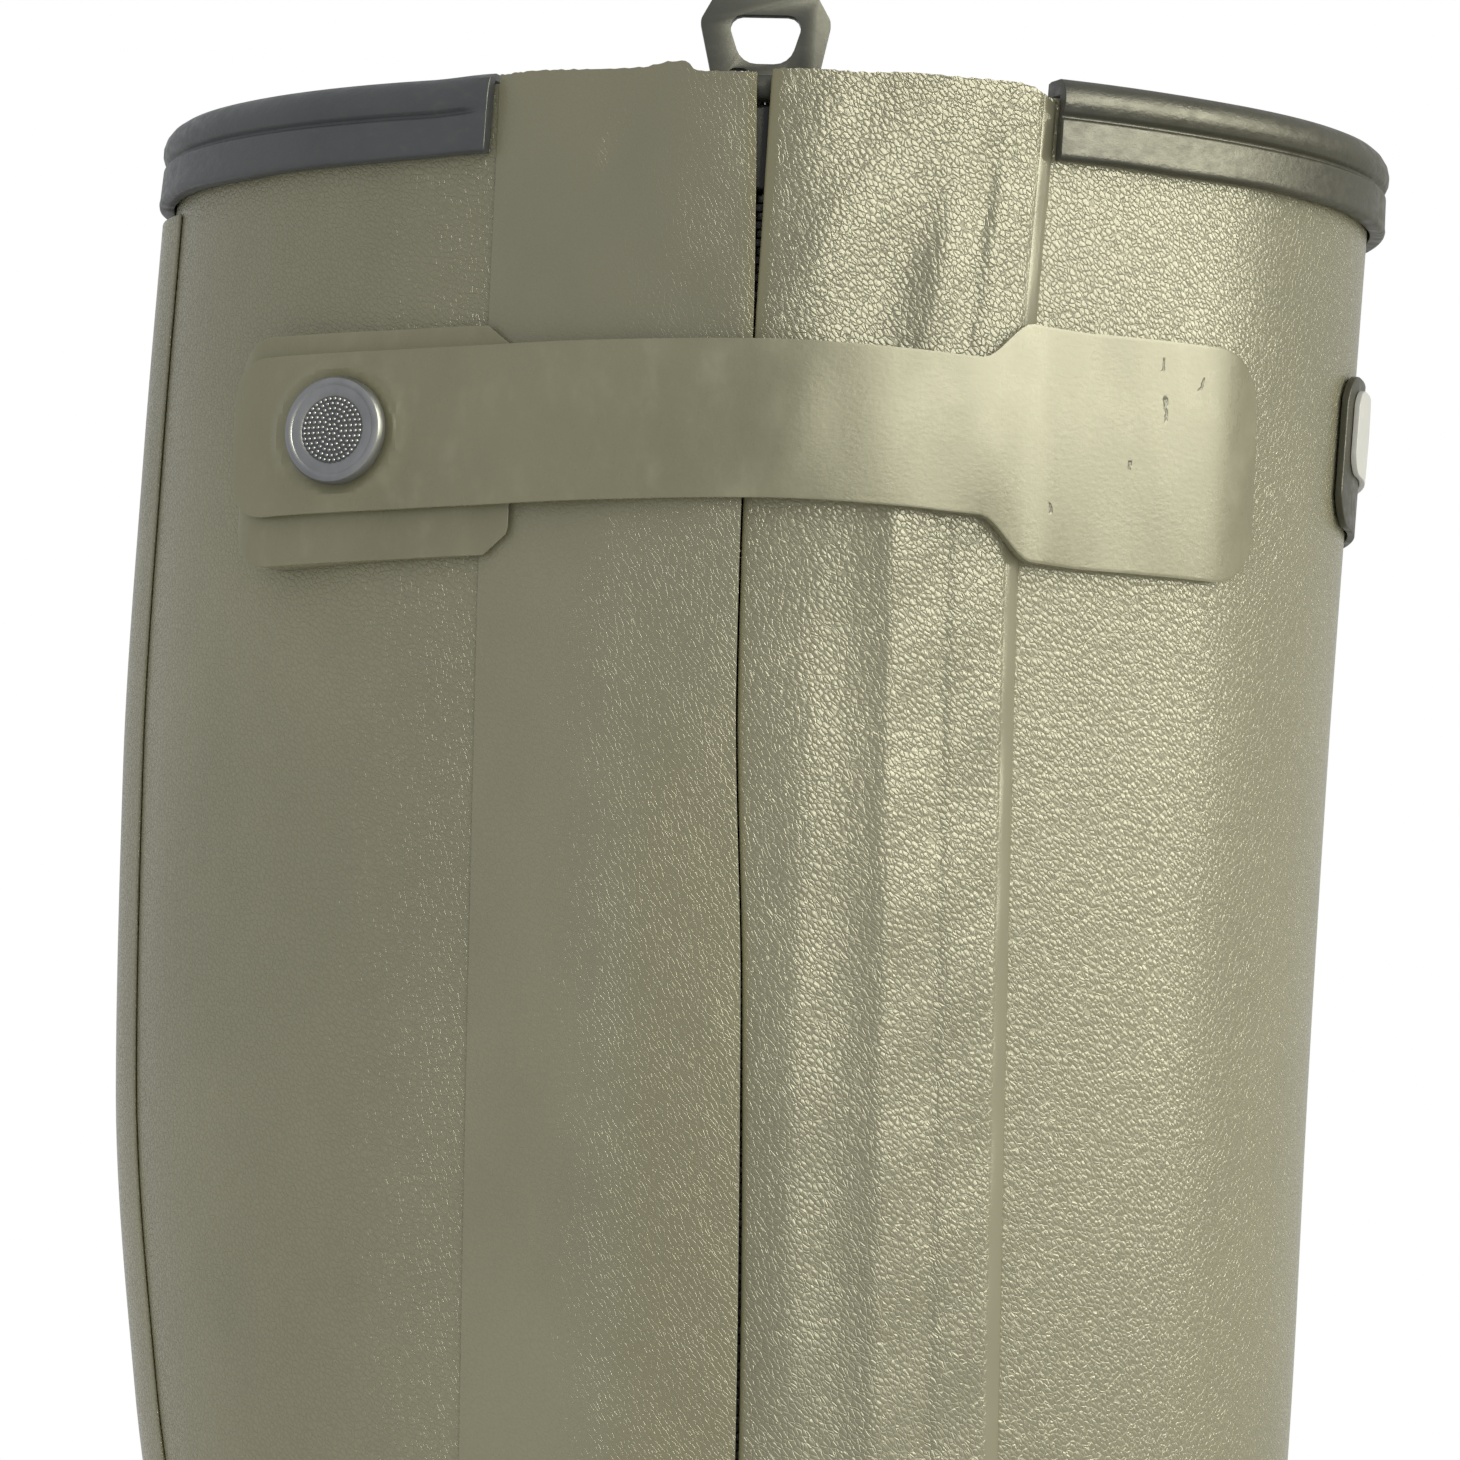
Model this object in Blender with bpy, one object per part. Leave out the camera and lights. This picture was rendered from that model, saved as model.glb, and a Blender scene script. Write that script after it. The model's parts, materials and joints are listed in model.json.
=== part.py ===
"""Right wellington boot with a neoprene-lined rubber upper and a side zip under two cover flaps.

The upper is a loft of sections that fan from the level collar, round the heel, to the toe.
Every other piece is set out on that same surface, so the pieces follow each other's shape.
The toe points along +X, the outer side with the zip faces -Y, and the sole stands on Z = 0.
"""

import math
from collections import namedtuple
from functools import lru_cache

import bmesh
import bpy
import numpy as np
from mathutils import Matrix, Vector

MM = 0.001
GAP = 0.35

# Driving sizes of the boot, in millimetres
LENGTH = 300.0
HEIGHT = 400.0
BALL_WIDTH = 100.0
WALL = 4.0
WELT = 4.0
HEEL_ROUND = 36.0
TOE_ROUND = 54.0
TOE_POWER = 2.2

# Sections of the upper, from the collar to the toe tip. Each one is cut by a plane through a low
# point (back of the leg, then the underside) and a high point (shin, then the top of the foot).
# x in percent of LENGTH, z in percent of HEIGHT, half-widths and mid_y in percent of BALL_WIDTH.
# seat is the half-width of the open underside, belly the share of the section where it is widest,
# square the power of its outline (2 is an ellipse), steps the number of rows up to the next section.
Section = namedtuple(
    "Section",
    "low_x low_z high_x high_z lateral medial seat_lateral seat_medial mid_y belly square steps",
)
SECTIONS = (
    Section(1.07, 100.40, 51.90, 99.40, 58.0, 58.0, 34.0, 34.0, 0.0, 0.50, 2.0, 1),
    Section(-0.03, 90.00, 50.87, 89.75, 58.0, 58.0, 34.0, 34.0, 0.0, 0.50, 2.0, 1),
    Section(-0.83, 80.00, 49.87, 80.00, 57.0, 57.0, 34.0, 34.0, 0.0, 0.50, 2.0, 1),
    Section(-1.07, 70.00, 49.00, 70.00, 55.5, 55.5, 34.0, 34.0, 0.0, 0.50, 2.0, 1),
    Section(-0.20, 60.25, 48.23, 59.75, 53.0, 53.0, 34.0, 34.0, 0.0, 0.50, 2.0, 2),
    Section(1.83, 50.25, 47.17, 50.00, 49.5, 49.5, 34.0, 34.0, 0.0, 0.50, 2.0, 2),
    Section(3.67, 41.25, 46.40, 43.00, 46.0, 46.0, 34.0, 34.0, 0.0, 0.50, 2.0, 2),
    Section(4.50, 33.25, 46.67, 40.13, 43.5, 43.5, 34.0, 34.0, 0.0, 0.48, 2.0, 2),
    Section(3.83, 24.50, 47.40, 38.13, 41.5, 41.5, 34.0, 34.0, 0.0, 0.42, 2.0, 2),
    Section(2.67, 16.00, 48.40, 36.63, 40.0, 40.0, 34.0, 34.0, 0.0, 0.36, 2.0, 2),
    Section(2.00, 8.25, 49.60, 35.25, 39.5, 39.0, 34.0, 34.0, 0.0, 0.31, 2.1, 5),
    Section(13.33, 8.00, 51.00, 33.88, 40.0, 38.5, 34.0, 33.5, 0.0, 0.30, 2.1, 2),
    Section(26.00, 7.38, 53.17, 32.00, 40.5, 37.0, 35.0, 32.0, 0.0, 0.30, 2.1, 1),
    Section(37.33, 6.13, 56.17, 29.63, 42.0, 37.0, 37.5, 31.5, 0.0, 0.30, 2.1, 1),
    Section(48.33, 4.88, 60.50, 27.00, 45.5, 40.0, 42.0, 35.5, 0.0, 0.30, 2.1, 1),
    Section(58.33, 4.25, 66.00, 24.38, 49.0, 45.0, 46.0, 42.0, 0.0, 0.30, 2.1, 1),
    Section(67.33, 4.13, 72.33, 22.00, 50.5, 48.0, 48.0, 45.5, 1.0, 0.30, 2.15, 1),
    Section(76.00, 4.25, 79.00, 19.88, 49.5, 47.0, 47.0, 45.0, 2.5, 0.32, 2.2, 1),
    Section(83.33, 4.63, 85.00, 18.13, 46.0, 44.0, 44.0, 42.5, 4.0, 0.34, 2.2, 2),
    Section(90.00, 5.25, 90.33, 16.10, 42.0, 41.0, 40.0, 39.0, 5.5, 0.36, 2.2, 2),
    Section(94.40, 5.75, 94.80, 13.60, 40.0, 39.5, 38.0, 37.5, 6.3, 0.38, 2.2, 5),
    Section(97.33, 6.25, 97.33, 9.00, 38.0, 38.0, 36.0, 36.0, 7.0, 0.40, 2.1, 0),
)
HEEL_CORNER = 10
UPPER_COLUMNS = 36
NORMAL_REACH = 1.0
NORMAL_TURN = 0.03

# Zip, in the side view: the line it follows, its slot in the wall and its covers
ZIP_X_LOW, ZIP_Z_LOW = 74.1, 224.0
ZIP_X_TOP, ZIP_Z_TOP = 77.7, 400.0
SLOT_WIDTH = 16.0
SLOT_FOOT = 162.0
SLOT_ROUND = 7.2
SLOT_REACH = 60.0
SLOT_OVERRUN = 40.0
TAPE_REACH = 14.0
TAPE_THICK = 1.0
TAPE_CLEAR = 0.7
TAPE_TOP = 397.8
TAPE_BELOW = 6.0
ZIP_ROWS = 13
CHAIN_WIDTH = 2.0
CHAIN_DEPTH = 2.9
CHAIN_ABOVE = 1.0
FLAP_FOOT = 150.0
FLAP_TOP = 401.0
FLAP_OPEN_TOP = 0.85
FLAP_OPEN_LOW = 0.3
FLAP_CLOSES_AT = 366.0
FLAP_CORNER = 10.0
FLAP_CORNER_FADE = 12
FLAP_ROWS = 16

# Width of each cover flap by height: it changes between the collar and the strap
Width = namedtuple("Width", "height front back")
FLAP_WIDTHS = (
    Width(150.0, 33.0, 35.0),
    Width(330.0, 33.4, 35.0),
    Width(401.0, 36.5, 33.8),
)

# How far the line where the covers meet bows back from the zip, by height
Bow = namedtuple("Bow", "height back")
FLAP_BOW = (
    Bow(150.0, 0.0),
    Bow(230.0, 0.0),
    Bow(285.0, 0.6),
    Bow(324.0, 1.9),
    Bow(347.0, 1.7),
    Bow(367.0, 0.7),
    Bow(401.0, 0.0),
)

# Folds across a cover flap: share of its width from the zip, and how far it stands off the shaft
Fold = namedtuple("Fold", "share rise")
FLAP_FOLDS = (
    Fold(0.0, 1.5),
    Fold(0.075, 1.8),
    Fold(0.21, 2.2),
    Fold(0.36, 2.0),
    Fold(0.43, 1.7),
    Fold(0.525, 2.4),
    Fold(0.60, 2.3),
    Fold(0.66, 1.9),
    Fold(0.82, 1.6),
    Fold(0.94, 1.3),
    Fold(1.0, 0.9),
)

# Strap across the zip, its base patch and its stud
STRAP_Z = 356.6
STRAP_BAND = 19.8
STRAP_WIDE = 30.0
STRAP_BACK, STRAP_FRONT = -68.0, 69.0
SHOULDER_START, SHOULDER_END = 27.0, 34.0
BACK_ROUND, FRONT_ROUND = 5.0, 7.5
PATCH_Z = 355.0
PATCH_TALL = 28.6
PATCH_START = -36.5
PATCH_ARCS = (-41.0, -47.0, -53.0, -58.0)
STUD_ARC = -52.4
STUD_REACH = 3.0
STUD_RADIUS = 6.8
STUD_HEIGHT = 2.0
STUD_EDGE = 0.6

# Course of the strap: distance from the zip, underside off the shaft, thickness, drop of its middle
Course = namedtuple("Course", "arc under thick drop")
STRAP_COURSE = (
    Course(-68.0, 5.0, 1.1, 0.0),
    Course(-62.0, 4.2, 1.6, 0.0),
    Course(-53.0, 2.95, 1.7, 0.0),
    Course(-44.0, 2.0, 1.7, 0.0),
    Course(-36.0, 2.0, 1.7, 0.0),
    Course(-24.0, 2.8, 1.7, -0.1),
    Course(-18.0, 2.9, 1.7, -0.15),
    Course(0.0, 2.8, 1.7, -0.3),
    Course(18.0, 2.9, 1.7, 0.5),
    Course(24.0, 2.8, 1.7, 0.95),
    Course(32.0, 1.8, 1.7, 1.35),
    Course(37.0, 0.5, 1.7, 1.7),
    Course(42.0, 0.35, 1.6, 2.0),
    Course(58.0, 0.35, 1.4, 2.0),
    Course(69.0, 0.35, 0.8, 1.9),
)

# Collar band: its reach down the shaft, its ends beside the zip and its cross-section
BAND_DROP = 9.4
BAND_BACK_END, BAND_FRONT_END = -34.4, 37.6
BAND_STEPS = 40
Corner = namedtuple("Corner", "out up")
BAND_PROFILE = (
    Corner(GAP, -BAND_DROP),
    Corner(1.8, -BAND_DROP),
    Corner(2.0, -4.4),
    Corner(1.5, -3.8),
    Corner(2.4, -3.1),
    Corner(2.4, -0.9),
    Corner(1.5, 0.9),
    Corner(-WALL + 0.2, 0.9),
    Corner(-WALL + 0.2, GAP),
    Corner(GAP, GAP),
)

# How far the band stands up over the rim, by the distance past its front end
Lift = namedtuple("Lift", "past up")
BAND_LIFT = (
    Lift(0.0, 1.6),
    Lift(25.0, 1.1),
    Lift(60.0, 0.9),
    Lift(110.0, 0.4),
    Lift(170.0, 0.0),
)

# Strip down the back and plate on the shin
STRIP_HALF = 11.0
STRIP_RISE = 1.3
STRIP_CROWN = 0.25
STRIP_COLUMNS, STRIP_ROWS = 4, 18
STRIP_TOP, STRIP_FOOT = 390.5, 60.0
BADGE_Z = 360.5
BADGE_HALF_WIDTH, BADGE_HALF_HEIGHT = 14.6, 10.0
BADGE_ROUND = 5.0
BADGE_RISE = 1.3
PANEL_UP = 2.6
PANEL_HALF_WIDTH, PANEL_HALF_HEIGHT = 12.0, 5.6
PANEL_ROUND = 3.0
PANEL_RISE = 0.4

# Sole: underside line, side steps and lugs
HEEL_BREAST = 80.0
BREAST_RUN = 2.0
ARCH_END = 150.0
ARCH_RISE = 12.0
ARCH_FLAT = 12.0
TOE_LIFT_START = 232.0
TOE_LIFT = 9.0
TOE_LIFT_POWER = 1.6
INSOLE_THICK = 4.0
INSOLE_CLEAR = 1.0
INSOLE_END = 6.0
LUG_DEPTH = 4.0
LUG_GROOVE = 5.0
LUG_PITCH = 14.0
HEEL_GROOVES = (24.0, 42.0, 60.0)
BALL_GROOVE_START = 164.0
BALL_GROOVES = 8

# Side of the sole from its top edge down: margin inside the welt, share of the way to the floor
Ledge = namedtuple("Ledge", "inset share")
SOLE_LEDGES = (
    Ledge(0.0, 0.0),
    Ledge(0.0, 0.34),
    Ledge(1.3, 0.40),
    Ledge(1.3, 0.50),
    Ledge(0.3, 0.56),
    Ledge(0.9, 1.0),
)

# Zip slider and pull tab, in the slider's own frame: x along the shaft, y inwards, z up the zip
PIN_UP = 399.4
PIN_IN = 2.1
PIN_RADIUS = 0.8
EYE_RADIUS = 1.9
EYE_CLEAR = 0.35
SLIDER_WIDTH = 9.0
SLIDER_LENGTH = 11.0
SLIDER_DEPTH = 3.4
SLIDER_TOP = 397.1
SLIDER_EDGE = 0.5
EAR_PLACE = 3.3
EAR_RADIUS = 1.0
EAR_DEPTH = 2.4
EAR_SUNK = 2.0
EAR_TOP = 401.3
TAB_THICK = 2.4
TAB_TOP = 411.6
TAB_SHOULDER = 407.6
TAB_FOOT = 398.4
TAB_HALF_TOP = 6.0
TAB_HALF_WIDE = 8.2
TAB_HALF_FOOT = 6.2
TAB_BAR = 3.2
TAB_HOLE_FOOT = 402.2

COLOURS = {
    "olive_rubber": (0.22, 0.20, 0.13),
    "dark_rubber": (0.085, 0.09, 0.08),
    "sole_rubber": (0.07, 0.07, 0.055),
    "zip_black": (0.02, 0.02, 0.022),
    "lining": (0.03, 0.035, 0.03),
    "stud_metal": (0.16, 0.16, 0.17),
    "badge_face": (0.75, 0.75, 0.72),
}


def smooth_slopes(stations, values):
    """Slopes of a cubic through the values that never overshoots them."""
    steps = np.diff(stations)[:, None]
    rates = np.diff(values, axis=0) / steps
    slopes = np.zeros_like(values)
    before, after = rates[:-1], rates[1:]
    same_way = before * after > 0
    near = 2 * steps[1:] + steps[:-1]
    far = steps[1:] + 2 * steps[:-1]
    with np.errstate(divide="ignore", invalid="ignore"):
        mean = (near + far) / (near / before + far / after)
    slopes[1:-1] = np.where(same_way, mean, 0.0)
    slopes[0], slopes[-1] = rates[0], rates[-1]
    return slopes


def scaled_table():
    """The section table in millimetres."""
    table = np.array([row[:-1] for row in SECTIONS], float)
    sizes = [LENGTH, HEIGHT, LENGTH, HEIGHT] + [BALL_WIDTH] * 5
    table[:, :9] *= np.array(sizes) / 100.0
    return table


TABLE = scaled_table()
TRAVEL = np.linalg.norm(np.diff(TABLE[:, 0:2], axis=0), axis=1)
TRAVEL = (TRAVEL + np.linalg.norm(np.diff(TABLE[:, 2:4], axis=0), axis=1)) / 2
STATIONS = np.concatenate([[0.0], np.cumsum(TRAVEL)])
SLOPES = smooth_slopes(STATIONS, TABLE)
HEEL_STATION = STATIONS[HEEL_CORNER]
LAST_STATION = STATIONS[-1]
HEEL_X = TABLE[HEEL_CORNER, 0]
TOE_X = TABLE[-1, 0]


def section_at(station):
    """The section at this distance along the fan, with the heel and the toe rounded in plan."""
    i = int(np.clip(np.searchsorted(STATIONS, station) - 1, 0, len(STATIONS) - 2))
    step = STATIONS[i + 1] - STATIONS[i]
    t = (station - STATIONS[i]) / step
    start, end = TABLE[i], TABLE[i + 1]
    rise, fall = SLOPES[i] * step, SLOPES[i + 1] * step
    values = (
        start * (2 * t**3 - 3 * t**2 + 1)
        + rise * (t**3 - 2 * t**2 + t)
        + end * (3 * t**2 - 2 * t**3)
        + fall * (t**3 - t**2)
    )
    row = Section(*values, 0)
    toe = max(0.0, (row.low_x - (TOE_X - TOE_ROUND)) / TOE_ROUND)
    toe_share = max(0.0, 1 - toe**TOE_POWER) ** (1 / TOE_POWER)
    heel = np.clip((HEEL_X + HEEL_ROUND - row.low_x) / HEEL_ROUND, 0.0, 1.0)
    heel_share = math.sqrt(max(0.0, 1 - heel**2)) if station > HEEL_STATION else 0.0
    return row._replace(
        lateral=row.lateral * toe_share,
        medial=row.medial * toe_share,
        seat_lateral=row.seat_lateral * toe_share * heel_share,
        seat_medial=row.seat_medial * toe_share * heel_share,
    )


def ring_point(station, turn):
    """A point on the outside. turn runs from -1, the outer seat edge, over the top to 1, the inner one."""
    row = section_at(station)
    side, away = math.copysign(1.0, turn), abs(turn)
    wide, seat = (row.lateral, row.seat_lateral) if turn < 0 else (row.medial, row.seat_medial)
    power = 2.0 / row.square
    angle = min(away, 1 - away) * math.pi
    if away <= 0.5:
        share = row.belly + (1 - row.belly) * max(0.0, math.cos(angle)) ** power
        half = wide * max(0.0, math.sin(angle)) ** power
    else:
        share = row.belly * (1 - max(0.0, math.cos(angle)) ** power)
        half = seat + (wide - seat) * max(0.0, math.sin(angle)) ** power
    x = row.low_x + (row.high_x - row.low_x) * share
    z = row.low_z + (row.high_z - row.low_z) * share
    return Vector((x, row.mid_y + side * half, z))


def outward(station, turn):
    """The unit normal of the outside. The leg's sections are closed, the foot's open underneath."""
    low, high = max(station - NORMAL_REACH, 0.0), min(station + NORMAL_REACH, LAST_STATION)
    left, right = turn - NORMAL_TURN, turn + NORMAL_TURN
    if station > HEEL_STATION:
        left, right = max(left, -1.0), min(right, 1.0)
    left, right = left + 2 * (left < -1), right - 2 * (right > 1)
    along = ring_point(high, turn) - ring_point(low, turn)
    across = ring_point(station, right) - ring_point(station, left)
    return along.cross(across).normalized()


def zip_x(z):
    """Where the zip's line lies in the side view."""
    return ZIP_X_LOW + (ZIP_X_TOP - ZIP_X_LOW) * (z - ZIP_Z_LOW) / (ZIP_Z_TOP - ZIP_Z_LOW)


@lru_cache(maxsize=None)
def girth(station):
    """Turns and arc lengths round a section. The arc is 0 on the zip and grows towards the shin."""
    turns = np.linspace(-1, 1, 361)
    points = [ring_point(station, turn) for turn in turns]
    steps = [(b - a).length for a, b in zip(points, points[1:])]
    arcs = np.concatenate([[0.0], np.cumsum(steps)])
    outer = slice(30, 150)
    ahead = [p.x - zip_x(p.z) for p in points[outer]]
    zero = np.interp(0.0, ahead, arcs[outer])
    return turns, arcs - zero


def leg_heights():
    """Stations down the leg and the height of the zip's line at each."""
    stations = np.linspace(0, STATIONS[9], 120)
    heights = []
    for station in stations:
        turns, arcs = girth(float(station))
        heights.append(ring_point(station, float(np.interp(0.0, arcs, turns))).z)
    return stations, np.array(heights)


LEG_STATIONS, LEG_HEIGHTS = leg_heights()
RIM = float(LEG_HEIGHTS[0])
LEG_UP = (ring_point(0.0, -0.5) - ring_point(20.0, -0.5)).normalized()


def on_leg(height, arc, out, start=0.0):
    """A point at a height of the zip and an arc from it (plus start), standing off the leg by out."""
    station = float(np.interp(-height, -LEG_HEIGHTS, LEG_STATIONS))
    turns, arcs = girth(round(station, 4))
    around = arcs[-1] - arcs[0]
    place = (arc + start - arcs[0]) % around + arcs[0]
    turn = float(np.interp(place, arcs, turns))
    point = ring_point(station, turn) + outward(station, turn) * out
    return point + LEG_UP * max(0.0, height - RIM)


def line_arc(height, turn):
    """How far round from the zip the shin (turn 0) or the back (turn -1) lies."""
    station = float(np.interp(-height, -LEG_HEIGHTS, LEG_STATIONS))
    turns, arcs = girth(round(station, 4))
    return float(np.interp(turn, turns, arcs))


def collection(name):
    made = bpy.data.collections.new(name)
    bpy.context.scene.collection.children.link(made)
    return made


def material(name):
    found = bpy.data.materials.get(name)
    if found:
        return found
    made = bpy.data.materials.new(name)
    made.use_nodes = True
    shader = made.node_tree.nodes["Principled BSDF"]
    shader.inputs["Base Color"].default_value = (*COLOURS[name], 1.0)
    shader.inputs["Roughness"].default_value = 0.35 if name == "stud_metal" else 0.55
    shader.inputs["Metallic"].default_value = 0.9 if name == "stud_metal" else 0.0
    return made


def piece(name, bm, finish, group):
    """Makes an object of a bmesh whose points are in millimetres."""
    bmesh.ops.scale(bm, vec=(MM, MM, MM), verts=bm.verts)
    mesh = bpy.data.meshes.new(name)
    bm.to_mesh(mesh)
    bm.free()
    mesh.shade_smooth()
    mesh.set_sharp_from_angle(angle=math.radians(35))
    obj = bpy.data.objects.new(name, mesh)
    obj.data.materials.append(material(finish))
    group.objects.link(obj)
    return obj


def sheet(columns, rows):
    """A flat grid. The two layers hold the column and the row of each point."""
    bm = bmesh.new()
    column_of = bm.verts.layers.int.new("column")
    row_of = bm.verts.layers.int.new("row")
    bmesh.ops.create_grid(bm, x_segments=columns, y_segments=rows, size=0.5)
    for vert in bm.verts:
        vert[column_of] = round((vert.co.x + 0.5) * columns)
        vert[row_of] = round((vert.co.y + 0.5) * rows)
    return bm, column_of, row_of


def thicken(bm):
    """Doubles an open skin into a closed plate. Returns the points of the second skin."""
    made = bmesh.ops.extrude_face_region(bm, geom=bm.faces[:])["geom"]
    return [item for item in made if isinstance(item, bmesh.types.BMVert)]


def slab(columns, rows, under, over):
    """A closed plate between two skins. under and over give a point for a column and a row."""
    bm, column_of, row_of = sheet(columns, rows)
    lower = bm.verts[:]
    for vert in thicken(bm):
        vert.co = over(vert[column_of], vert[row_of])
    for vert in lower:
        vert.co = under(vert[column_of], vert[row_of])
    bmesh.ops.recalc_face_normals(bm, faces=bm.faces)
    return bm


def loft(columns, rows, place):
    """A skin of rows of points, welded where points meet and closed where its ends are open."""
    bm, column_of, row_of = sheet(columns, rows)
    for vert in bm.verts:
        vert.co = place(vert[column_of], vert[row_of])
    bmesh.ops.remove_doubles(bm, verts=bm.verts, dist=0.01)
    bmesh.ops.holes_fill(bm, edges=[e for e in bm.edges if e.is_boundary], sides=0)
    bmesh.ops.recalc_face_normals(bm, faces=bm.faces)
    return bm


def boolean(target, other, operation, cutters):
    """Joins other to target, or cuts it away, and puts it with the cutters."""
    for home in list(other.users_collection):
        home.objects.unlink(other)
    cutters.objects.link(other)
    other.hide_render = True
    other.display_type = "WIRE"
    modifier = target.modifiers.new(operation.title() + " " + other.name, "BOOLEAN")
    modifier.operation = operation
    modifier.object = other


def between(rows, arc, field):
    """Reads a column of a table at this arc."""
    return float(np.interp(arc, [row.arc for row in rows], [getattr(row, field) for row in rows]))


def ease(t):
    t = min(max(t, 0.0), 1.0)
    return t * t * (3 - 2 * t)


# Upper


def upper_stations():
    """Where the upper's rows lie: closer together where the heel and the toe turn in."""
    places = []
    for i, row in enumerate(SECTIONS[:-1]):
        for k in range(row.steps):
            t = k / row.steps
            if i == HEEL_CORNER:
                t = t**2
            if i == len(SECTIONS) - 2:
                t = 1 - (1 - t) ** 2
            places.append(STATIONS[i] + t * TRAVEL[i])
    return [float(p) for p in places] + [float(LAST_STATION)]


def make_upper(parts, cutters):
    stations = upper_stations()
    turns = [float(t) for t in np.linspace(-1, 1, UPPER_COLUMNS + 1)]
    bm, column_of, row_of = sheet(UPPER_COLUMNS, len(stations) - 1)
    for vert in bm.verts:
        vert.co = ring_point(stations[vert[row_of]], turns[vert[column_of]])
    bmesh.ops.remove_doubles(bm, verts=bm.verts, dist=0.01)
    for vert in thicken(bm):
        vert.co -= outward(stations[vert[row_of]], turns[vert[column_of]]) * WALL
        vert.co.z = max(vert.co.z, seat_height(vert.co.x))
    bmesh.ops.recalc_face_normals(bm, faces=bm.faces)
    upper = piece("upper", bm, "olive_rubber", parts)
    boolean(upper, make_slot_cutter(cutters), "DIFFERENCE", cutters)
    return upper


def lean():
    """The zip's lean towards the toe."""
    return math.atan2(ZIP_X_TOP - ZIP_X_LOW, ZIP_Z_TOP - ZIP_Z_LOW)


def along_zip(x, y, z):
    """A point beside the zip's line: x towards the toe, y inwards, z its height."""
    return Vector((zip_x(z) + x, y, z - math.sin(lean()) * x))


def make_slot_cutter(cutters):
    bm = bmesh.new()
    bmesh.ops.create_cube(bm, size=1.0)
    low = [edge for edge in bm.edges if all(vert.co.z < 0 for vert in edge.verts)]
    foot = [edge for edge in low if edge.verts[0].co.x == edge.verts[1].co.x]
    tall = RIM + SLOT_OVERRUN - SLOT_FOOT
    bmesh.ops.scale(bm, vec=(SLOT_WIDTH, SLOT_REACH, tall), verts=bm.verts)
    bmesh.ops.bevel(
        bm, geom=foot, offset=SLOT_ROUND, segments=4, profile=0.5, affect="EDGES", material=-1
    )
    deep = -TABLE[0][4]
    for vert in bm.verts:
        vert.co = along_zip(vert.co.x, vert.co.y + deep, vert.co.z + SLOT_FOOT + tall / 2)
    bmesh.ops.recalc_face_normals(bm, faces=bm.faces)
    return piece("slot_cutter", bm, "olive_rubber", cutters)


# Sole and insole


@lru_cache(maxsize=None)
def seat_line():
    """The upper's lower edge, a row per section: x, outer y, inner y and height."""
    stations = [s for s in upper_stations() if s >= HEEL_STATION]
    rows = [section_at(s) for s in stations]
    return np.array([(r.low_x, r.mid_y - r.seat_lateral, r.mid_y + r.seat_medial, r.low_z) for r in rows])


def seat_height(x):
    line = seat_line()
    return float(np.interp(x, line[:, 0], line[:, 3]))


def seat_places():
    """Places along the underside: the upper's rows, and a pair for the step of the heel's breast."""
    breast = [HEEL_BREAST, HEEL_BREAST + BREAST_RUN]
    return sorted([float(x) for x in seat_line()[:, 0]] + breast + [ARCH_END])


def seat_edge(x, side):
    """The upper's lower edge at x: its point, its outward direction in plan and its height."""
    line = seat_line()
    edge = line[:, 1] if side < 0 else line[:, 2]
    point = Vector((x, float(np.interp(x, line[:, 0], edge))))
    height = seat_height(x)
    if x <= HEEL_X + 0.01:
        return point, Vector((-1.0, 0.0)), height
    if x >= TOE_X - 0.01:
        return point, Vector((1.0, 0.0)), height
    i = int(np.argmin(abs(line[:, 0] - x)))
    behind, ahead = max(i - 1, 0), min(i + 1, len(line) - 1)
    run = Vector((line[ahead, 0] - line[behind, 0], edge[ahead] - edge[behind])).normalized()
    return point, Vector((-run.y, run.x)) * side, height


def sole_floor(x):
    """The sole's underside: flat heel, raised arch, flat ball and lifted toe."""
    if x < HEEL_BREAST:
        return 0.0
    if x < ARCH_END:
        start = HEEL_BREAST + ARCH_FLAT
        return ARCH_RISE * (1 - ease((x - start) / (ARCH_END - start)))
    return TOE_LIFT * max(0.0, (x - TOE_LIFT_START) / (TOE_X - TOE_LIFT_START)) ** TOE_LIFT_POWER


def make_outsole(parts, cutters):
    places = seat_places()
    ledges = len(SOLE_LEDGES)

    def corner(column, row):
        column %= 2 * ledges
        side = -1.0 if column < ledges else 1.0
        ledge = SOLE_LEDGES[column if column < ledges else 2 * ledges - 1 - column]
        x = places[row]
        point, direction, height = seat_edge(x, side)
        flat = point + direction * (WELT - ledge.inset)
        top, bottom = height - GAP, sole_floor(x)
        return Vector((flat.x, flat.y, top + (bottom - top) * ledge.share))

    outsole = piece("outsole", loft(2 * ledges, len(places) - 1, corner), "sole_rubber", parts)
    boolean(outsole, make_groove_cutter(cutters), "DIFFERENCE", cutters)
    return outsole


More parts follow.
